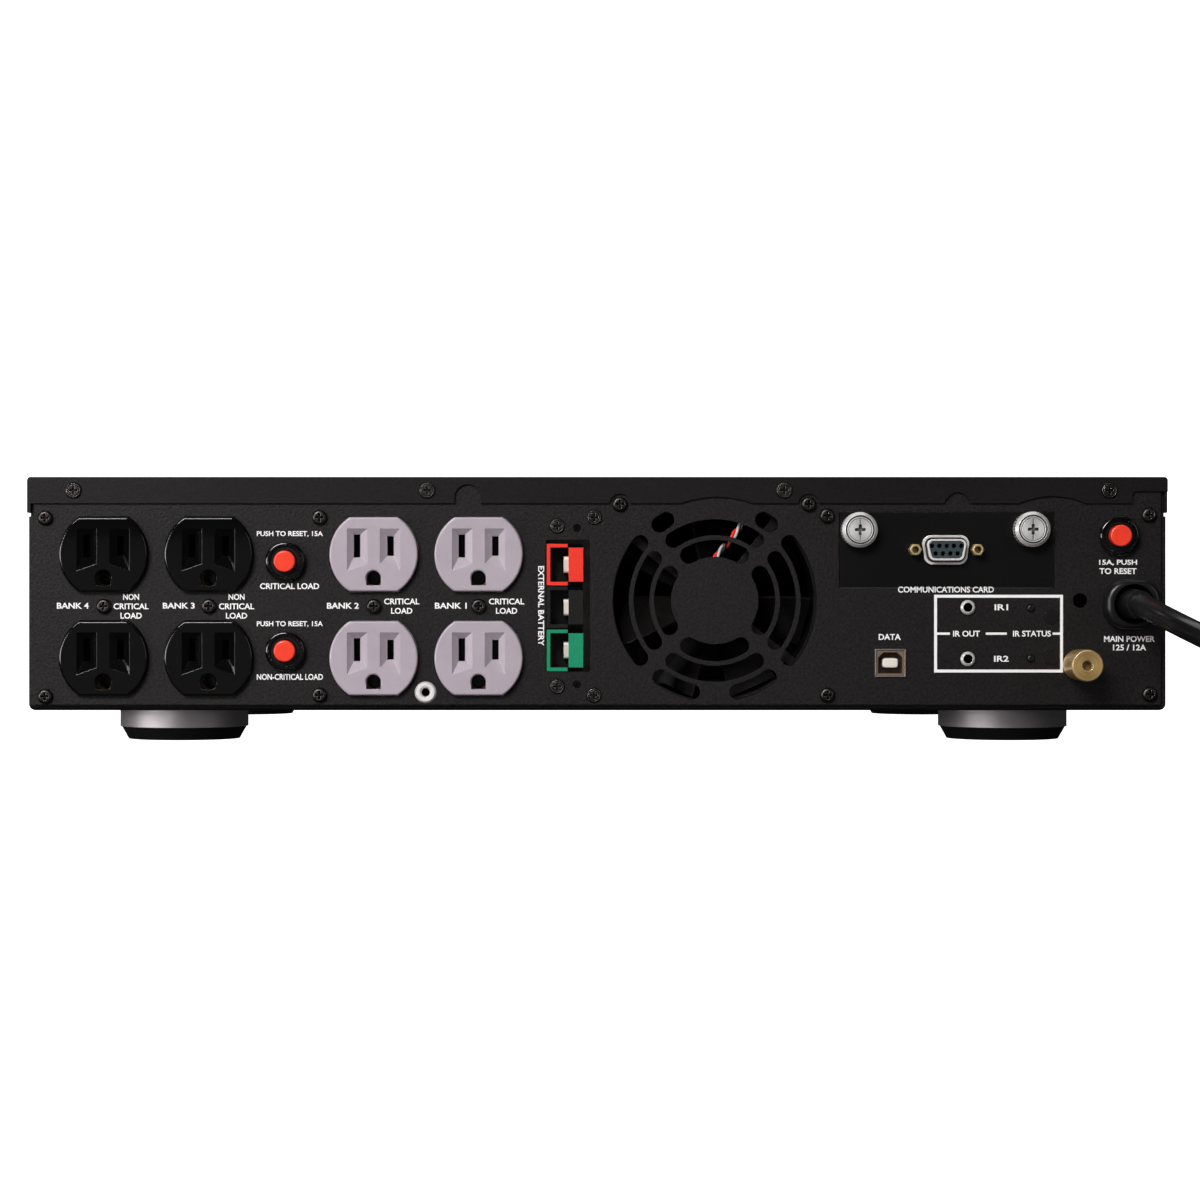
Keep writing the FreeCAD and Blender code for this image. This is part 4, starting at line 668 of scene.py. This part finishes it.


# %% The finishes themselves
# Painted shade: the near-black that the inside of a hole darkens to.
SHADE_BLACK = (0.0012, 0.0012, 0.0012)
FINISH = {
    "powder_coat": grained("powder_coat", (0.003, 0.0022, 0.0022), (0.017, 0.0132, 0.0132), 1100.0, 0.00016,
                           0.5, 0.012, 3.0, 0.3),
    "cover_paint": grained("cover_paint", (0.006, 0.0048, 0.0048), (0.014, 0.0112, 0.0115), 1400.0, 0.00006,
                           0.42, 0.015, 1.5, 0.25),
    "card_paint": grained("card_paint", (0.001, 0.001, 0.001), (0.003, 0.0027, 0.0027), 1800.0, 0.00003, 0.4,
                          0.01, 1.0, 0.25),
    "bezel_plastic": grained("bezel_plastic", (0.012, 0.012, 0.013), (0.03, 0.03, 0.032), 1500.0, 0.00005,
                             0.45, 0.05),
    "gloss_black": grained("gloss_black", (0.0010, 0.0010, 0.0012), (0.0022, 0.0021, 0.0024), 90.0, 0.00001,
                           0.12, 0.008, 1.0, 0.5, 0.4),
    # Outlets and sockets end with a tuple of painted shade that darkens their holes with depth.
    "receptacle_grey": grained("receptacle_grey", (0.40, 0.345, 0.385), (0.49, 0.43, 0.475), 120.0, 0.00001,
                               0.3, 0.03, 1.0, 0.5, 0.2, (3.0, 3.0, (0.02, 0.016, 0.016))),
    "black_plastic": grained("black_plastic", (0.004, 0.004, 0.0045), (0.010, 0.0095, 0.010), 900.0, 0.00003,
                             0.3, 0.03),
    "fan_plastic": grained("fan_plastic", (0.004, 0.0038, 0.0038), (0.010, 0.009, 0.009), 700.0, 0.00001,
                           0.22, 0.05),
    "black_socket": grained("black_socket", (0.005, 0.005, 0.005), (0.012, 0.011, 0.011), 900.0, 0.00003,
                            0.34, 0.04, 1.0, 0.5, 0.0, (1.0, 4.0, SHADE_BLACK)),
    "red_button": grained("red_button", (0.80, 0.045, 0.02), (0.92, 0.085, 0.045), 400.0, 0.00001, 0.3, 0.02,
                          1.0, 0.5, 0.2),
    "red_plastic": grained("red_plastic", (0.74, 0.030, 0.014), (0.86, 0.055, 0.03), 700.0, 0.00002, 0.4,
                           0.02),
    "red_socket": grained("red_socket", (0.74, 0.030, 0.014), (0.86, 0.055, 0.03), 700.0, 0.00002, 0.4, 0.02,
                          1.0, 0.5, 0.0, (0.8, 3.0, SHADE_BLACK)),
    "green_socket": grained("green_socket", (0.002, 0.24, 0.12), (0.006, 0.31, 0.16), 700.0, 0.00002, 0.4,
                            0.02, 1.0, 0.5, 0.0, (0.8, 3.0, SHADE_BLACK)),
    "usb_cavity": grained("usb_cavity", (0.16, 0.10, 0.065), (0.24, 0.16, 0.10), 700.0, 0.00002, 0.45, 0.05,
                          1.0, 0.5, 0.0, (1.0, 5.0, (0.02, 0.014, 0.01))),
    "ivory_plastic": grained("ivory_plastic", (0.66, 0.62, 0.56), (0.80, 0.77, 0.70), 700.0, 0.00002, 0.4,
                             0.02),
    "grey_plastic": grained("grey_plastic", (0.034, 0.047, 0.053), (0.055, 0.075, 0.084), 900.0, 0.00002, 0.4,
                            0.02),
    "foot_rubber": grained("foot_rubber", (0.004, 0.004, 0.004), (0.011, 0.011, 0.011), 1300.0, 0.00008, 0.7,
                           0.05),
    "cord_jacket": grained("cord_jacket", (0.004, 0.0038, 0.0042), (0.010, 0.0095, 0.0105), 700.0, 0.00002,
                           0.26, 0.02, 1.0, 0.6),
    "circuit_board": grained("circuit_board", (0.004, 0.05, 0.02), (0.01, 0.10, 0.04), 260.0, 0.00003, 0.35,
                             0.12),
    "battery_case": grained("battery_case", (0.02, 0.02, 0.022), (0.045, 0.045, 0.05), 900.0, 0.00006, 0.5,
                            0.1),
    "winding": grained("winding", (0.16, 0.07, 0.02), (0.32, 0.15, 0.05), 500.0, 0.0001, 0.4, 0.08),
    "legend_ink": grained("legend_ink", (0.80, 0.77, 0.77), (0.93, 0.91, 0.91), 2200.0, 0.00001, 0.55, 0.02),
    "lead_white": grained("lead_white", (0.45, 0.43, 0.42), (0.6, 0.58, 0.56), 900.0, 0.00001, 0.4, 0.1),
    # The metals below take a painted highlight on their edges and painted shade in their crevices.
    "black_steel": plated("black_steel", (0.075, 0.066, 0.064), (900.0, 60.0, 60.0), 0.25, 0.00002, 0.7,
                          (0.55, 0.50, 0.48)),
    "zinc_steel": plated("zinc_steel", (0.50, 0.48, 0.45), (40.0, 40.0, 900.0), 0.3, reach=0.004),
    "silver_contact": plated("silver_contact", (0.90, 0.84, 0.74), (60.0, 300.0, 60.0), 0.25, metallic=0.4),
    "foot_aluminium": plated("foot_aluminium", (0.86, 0.80, 0.81), (25.0, 25.0, 2600.0), 0.25, 0.00009, 0.92,
                             rough=0.16, metallic=0.75),
    "heat_sink_alloy": plated("heat_sink_alloy", (0.5, 0.5, 0.52), (900.0, 30.0, 900.0), 0.3, reach=0.02),
    "nickel": plated("nickel", (0.88, 0.84, 0.82), (120.0, 120.0, 120.0), 0.2, 0.000005, 0.9, rough=0.06,
                     metallic=0.4),
    "gold_plate": plated("gold_plate", (0.72, 0.56, 0.30), (120.0, 120.0, 120.0), 0.2, 0.000005, 0.9,
                         metallic=0.6),
    "dull_brass": plated("dull_brass", (0.30, 0.19, 0.09), (60.0, 60.0, 300.0), 0.3, 0.00001, 0.7),
    "brass": turned("brass", (0.62, 0.42, 0.17), middle("ground_nut"), 0.30, 2500.0, 0.00002),
    "thumb_left": turned("thumb_left", (0.86, 0.83, 0.82), middle("thumbscrew_left"), 0.36),
    "thumb_right": turned("thumb_right", (0.86, 0.83, 0.82), middle("thumbscrew_right"), 0.36),
}


def jack_metal():
    """Bright nickel outside and painted shade in the bore: the colour darkens to black and the metal fades at
    the jack's mouth.
    """
    material, tree, shader = finish("jack_metal", 0.28, 1.0)
    streaks = use(tree, BRUSHED, Stretch=(120.0, 120.0, 120.0), Amount=0.2)
    hole_shade = use(tree, DEPTH_SHADE, Base=(0.88, 0.84, 0.82, 1), Deep=(*SHADE_BLACK, 1), From=REAR - 1.1 * MM, Over=0.6 * MM)
    tree.links.new(hole_shade.outputs["Color"], shader.inputs["Base Color"])
    open_part = math_node(tree, "SUBTRACT", 1.0, hole_shade.outputs["Mask"])
    tree.links.new(math_node(tree, "MULTIPLY", open_part, 0.5), shader.inputs["Metallic"])
    tree.links.new(streaks.outputs["Roughness"], shader.inputs["Roughness"])
    bump(tree, shader, streaks.outputs["Height"], 0.000005)
    return material


def window_glass():
    """The display's smoked window: dark, glossy and see-through only a little."""
    material, tree, shader = finish("clear_window", 0.05, 0.0, 0.5)
    grain = use(tree, GRAIN, Scale=20.0, Dark=(0.004, 0.006, 0.009, 1), Light=(0.010, 0.014, 0.018, 1))
    tree.links.new(grain.outputs["Color"], shader.inputs["Base Color"])
    bump(tree, shader, grain.outputs["Patch"], 0.00002)
    return material


def stage_paper():
    """The floor's matt paper, lit through from below so that shadows on it stay pale."""
    material, tree, shader = finish("stage_paper", 0.9, 0.0, 0.0, 0.1)
    grain = use(tree, GRAIN, Scale=3.0, Dark=(0.88, 0.88, 0.88, 1), Light=(0.92, 0.92, 0.92, 1))
    shader.inputs["Base Color"].default_value = (0.25, 0.25, 0.25, 1)
    tree.links.new(grain.outputs["Color"], shader.inputs["Emission Color"])
    shader.inputs["Emission Strength"].default_value = 0.97
    return material


FINISH["clear_window"] = window_glass()
FINISH["jack_metal"] = jack_metal()
stage_floor.data.materials.append(stage_paper())
print(len(FINISH), "finishes")

# %% [markdown]
# ## Finishes on the CAD nodes
# Most nodes take the finish of the material slot that the record names. A few take a closer one, such
# as the cover, whose paint is smoother than the panel's, or a socket given painted shade inside.

# %% Dress the nodes
CLOSER = {
    "top_cover": "cover_paint",
    "thumbscrew_left": "thumb_left",
    "thumbscrew_right": "thumb_right",
    "battery_socket_positive": "red_socket",
    "battery_socket_middle": "black_socket",
    "battery_socket_negative": "green_socket",
    "usb_insert": "usb_cavity",
    "ir_jacks": "jack_metal",
    "serial_jackscrews": "gold_plate",
    "outlet_contacts": "dull_brass",
    "fan_rotor": "fan_plastic",
}


def dress(target, name):
    """Give a mesh or curve one finish in place of whatever it has."""
    target.data.materials.clear()
    target.data.materials.append(FINISH[name])


slots = {part["node"]: part["material_slot"] for part in frame["record"]["subparts"]}
for node, slot_name in slots.items():
    dress(bpy.data.objects[node], CLOSER.get(node, slot_name))
dress(supply_cord, "cord_jacket")
dress(plug, "black_plastic")
dress(pins, "silver_contact")
print(len(slots), "nodes dressed")

# %% [markdown]
# ## Fan leads
# A fan has a red, a black and a white lead, twisted lightly together on the way from its hub to the
# board. A smooth curve gives the line they share, and each strand is a tube that winds round it.

# %% Fan leads
LEAD_LINE = [(44.0, 3.9, 56.5), (48.5, 3.4, 62.5), (54.5, 3.9, 69.5), (59.5, 4.2, 77.0), (62.5, 4.2, 84.0),
             (62.7, 8.0, 85.4), (62.7, 24.0, 85.0), (62.7, 60.0, 84.2)]
LEAD_R = 0.62 * MM
TWIST_R = 0.78 * MM
TWIST_PITCH = 11.0 * MM


def smooth_line(points):
    """The points of a NURBS curve through control points, as Blender works them out."""
    data = bpy.data.curves.new("line", "CURVE")
    data.dimensions = "3D"
    run = data.splines.new("NURBS")
    run.points.add(len(points) - 1)
    run.points.foreach_set("co", np.column_stack([points, np.ones(len(points))]).ravel())
    run.order_u = 3
    run.use_endpoint_u = True
    run.resolution_u = 14
    holder = bpy.data.objects.new("line", data)
    mesh = bpy.data.meshes.new_from_object(holder)
    line = np.empty(len(mesh.vertices) * 3)
    mesh.vertices.foreach_get("co", line)
    bpy.data.objects.remove(holder)
    bpy.data.meshes.remove(mesh)
    bpy.data.curves.remove(data)
    return line.reshape(-1, 3)


def strand(line, phase):
    """A tube that winds round a line: offset TWIST_R(cos a, sin a), a = phase + 2 pi s / pitch."""
    run = np.concatenate([[0], np.cumsum(np.linalg.norm(np.diff(line, axis=0), axis=1))])
    angle = phase + 2 * np.pi * run / TWIST_PITCH
    return ring_along(line, LEAD_R, 10, TWIST_R * np.stack([np.cos(angle), np.sin(angle)], 1))


lead_line = smooth_line(np.array([place(*p) for p in LEAD_LINE]))
for k, (colour, slot_name) in enumerate(
        (("red", "red_plastic"), ("black", "black_plastic"), ("white", "ivory_plastic"))):
    lead = piece(f"fan_lead_{colour}", strand(lead_line, k * 2 * np.pi / 3), "chassis",
                 replaces=["fan_lead"])
    dress(lead, "lead_white" if colour == "white" else slot_name)

# %% [markdown]
# ## The data socket's tongue
# The white tongue of the square data socket fits over the core that the CAD insert carries. It is a
# rounded bar: its section is a superellipse and its nose is drawn in over the last half millimetre.

# %% Data tongue
def rounded_bar(centre, half_w, half_h, start, end, nose=0.5, power=6.0, steps=40):
    """Rings (half_w, half_h)(|cos t|^n + |sin t|^n)^(-1/n), shrunk by a quarter circle at the nose."""
    t = np.linspace(0, 2 * np.pi, steps, endpoint=False)
    r = (np.abs(np.cos(t)) ** power + np.abs(np.sin(t)) ** power) ** (-1 / power)
    bend = np.linspace(0, np.pi / 2, 6)
    depth = np.concatenate([[start], start + nose * (1 - np.cos(bend)), [end]])
    inset = np.concatenate([[max(half_w, half_h)], nose * (1 - np.sin(bend)), [0]])[:, None]
    across = np.maximum(half_w - inset, 0) * r * np.cos(t)
    up = np.maximum(half_h - inset, 0) * r * np.sin(t)
    ring = np.stack([across, depth[:, None] * np.ones_like(across), up], -1) * MM
    return grid(ring + place(centre[0], 0, centre[1]), close_v=True)


def on_panel(node):
    """Across and up of a node's middle, in panel millimetres."""
    x, _, z = middle(node)
    return x / MM, (z - UNDER) / MM


usb_tongue = piece("usb_tongue", rounded_bar(on_panel("usb_shell"), 2.95, 1.85, -0.35, 4.4),
                   "chassis")
dress(usb_tongue, "ivory_plastic")

# %% [markdown]
# ## Printed legends
# The panel carries white screen-printed legends: plain words for what each group of openings does,
# and an outline round the signal jacks. Each line is text made into a mesh and stretched to a height
# and width, and its place is given from the middle of the part that it names.

# %% Legends
LEGEND_OFF = -0.04  # just in front of the paint
CAP = 2.3  # height of the capitals
LEGENDS = [  # words, the part they name, across and up from its middle, width
    ("PUSH TO RESET, 15A", "reset_button_1", 1.65, 10.4, 25.1),
    ("CRITICAL LOAD", "reset_button_1", 1.55, -9.35, 22.5),
    ("PUSH TO RESET, 15A", "reset_button_2", 1.65, 10.15, 25.1),
    ("NON-CRITICAL LOAD", "reset_button_2", 1.65, -9.85, 25.1),
    ("15A, PUSH", "reset_button_3", -0.15, -10.15, 14.4), ("TO RESET", "reset_button_3", -0.2, -13.35, 14.1),
    ("MAIN POWER", "strain_relief", -0.15, -13.15, 19.3), ("125 / 12A", "strain_relief", -0.1, -16.4, 12.6),
    ("COMMUNICATIONS CARD", "card_plate", -0.35, -15.05, 36.4), ("DATA", "usb_shell", -0.2, 9.85, 8.4),
    ("IR1", "ir_jacks", 12.8, 9.8, 5.2), ("IR2", "ir_jacks", 12.8, -9.7, 5.6),
    ("IR OUT", "ir_jacks", -0.4, -0.2, 10.2), ("IR STATUS", "ir_jacks", 24.4, -0.2, 14.4),
]
BANK_WORDS = [(1, -10.55, 10.6, False), (2, -11.75, 10.55, False),
              (3, -11.45, 10.45, True), (4, -11.8, 10.3, True)]
for bank, left, right, spare in BANK_WORDS:
    node = f"outlet_bank_{bank}"
    LEGENDS.append((f"BANK {bank}", node, left, 0.2, 12.1))
    words = [("NON", 6.1), ("CRITICAL", 13.4), ("LOAD", 8.1)] if spare else [("CRITICAL", 13.4), ("LOAD", 8.1)]
    top = 3.5 if spare else 1.8
    LEGENDS += [(text, node, right, top - 3.55 * k, wide) for k, (text, wide) in enumerate(words)]


def flat_text(words):
    """Text as points in a unit square, with its faces."""
    data = bpy.data.curves.new("line", "FONT")
    data.body = words
    data.offset = 0.026
    data.resolution_u = 3
    holder = bpy.data.objects.new("line", data)
    bpy.context.scene.collection.objects.link(holder)
    bpy.context.view_layer.update()
    mesh = bpy.data.meshes.new_from_object(holder)
    flat = np.empty(len(mesh.vertices) * 3)
    mesh.vertices.foreach_get("co", flat)
    flat = flat.reshape(-1, 3)[:, :2]
    faces = [tuple(p.vertices) for p in mesh.polygons]
    bpy.data.objects.remove(holder)
    bpy.data.meshes.remove(mesh)
    bpy.data.curves.remove(data)
    return (flat - flat.min(0)) / np.ptp(flat, axis=0) - 0.5, faces


def printed_line(words, node, across, up, wide, down=False):
    """A line of text of a given width, centred beside a node; down makes it read downwards."""
    unit, faces = flat_text(words)
    x, h = on_panel(node)
    u, v = (unit * [wide, CAP]).T
    if down:
        u, v = v, -u
    return place(0, LEGEND_OFF, 0) + np.stack([x + across + u, 0 * u, h + up + v], 1) * MM, faces


def bar(x0, x1, h0, h1):
    """A flat printed bar."""
    corners = np.array([[x0, 0, h0], [x1, 0, h0], [x1, 0, h1], [x0, 0, h1]]) * MM
    return corners + place(0, LEGEND_OFF, 0), [(0, 1, 2, 3)]


def outline(x, h, wide, high, line):
    """A printed rectangle of four bars, with three short bars on its middle line."""
    x0, x1, h0, h1 = x - wide / 2, x + wide / 2, h - high / 2, h + high / 2
    sides = [(x0, x1, h1 - line, h1), (x0, x1, h0, h0 + line), (x0, x0 + line, h0 + line, h1 - line),
             (x1 - line, x1, h0 + line, h1 - line)]
    shorts = [(x0 + line, x0 + 6.0), (x0 + 19.6, x0 + 27.6), (x1 - 4.0, x1 - line)]
    return [bar(*side) for side in sides] + [bar(a, b, h - 0.45, h + 0.45) for a, b in shorts]


jack_x, jack_h = on_panel("ir_jacks")
lines = [printed_line(*legend) for legend in LEGENDS]
lines.append(printed_line("EXTERNAL BATTERY", "battery_socket_middle", -9.05, 0.55, 30.3, True))
lines += outline(jack_x + 11.75, jack_h - 0.2, 48.9, 29.5, 1.15)
panel_legends = piece("panel_legends", join(lines), "chassis", False)
dress(panel_legends, "legend_ink")

# %% Update the scene
bpy.context.view_layer.update()
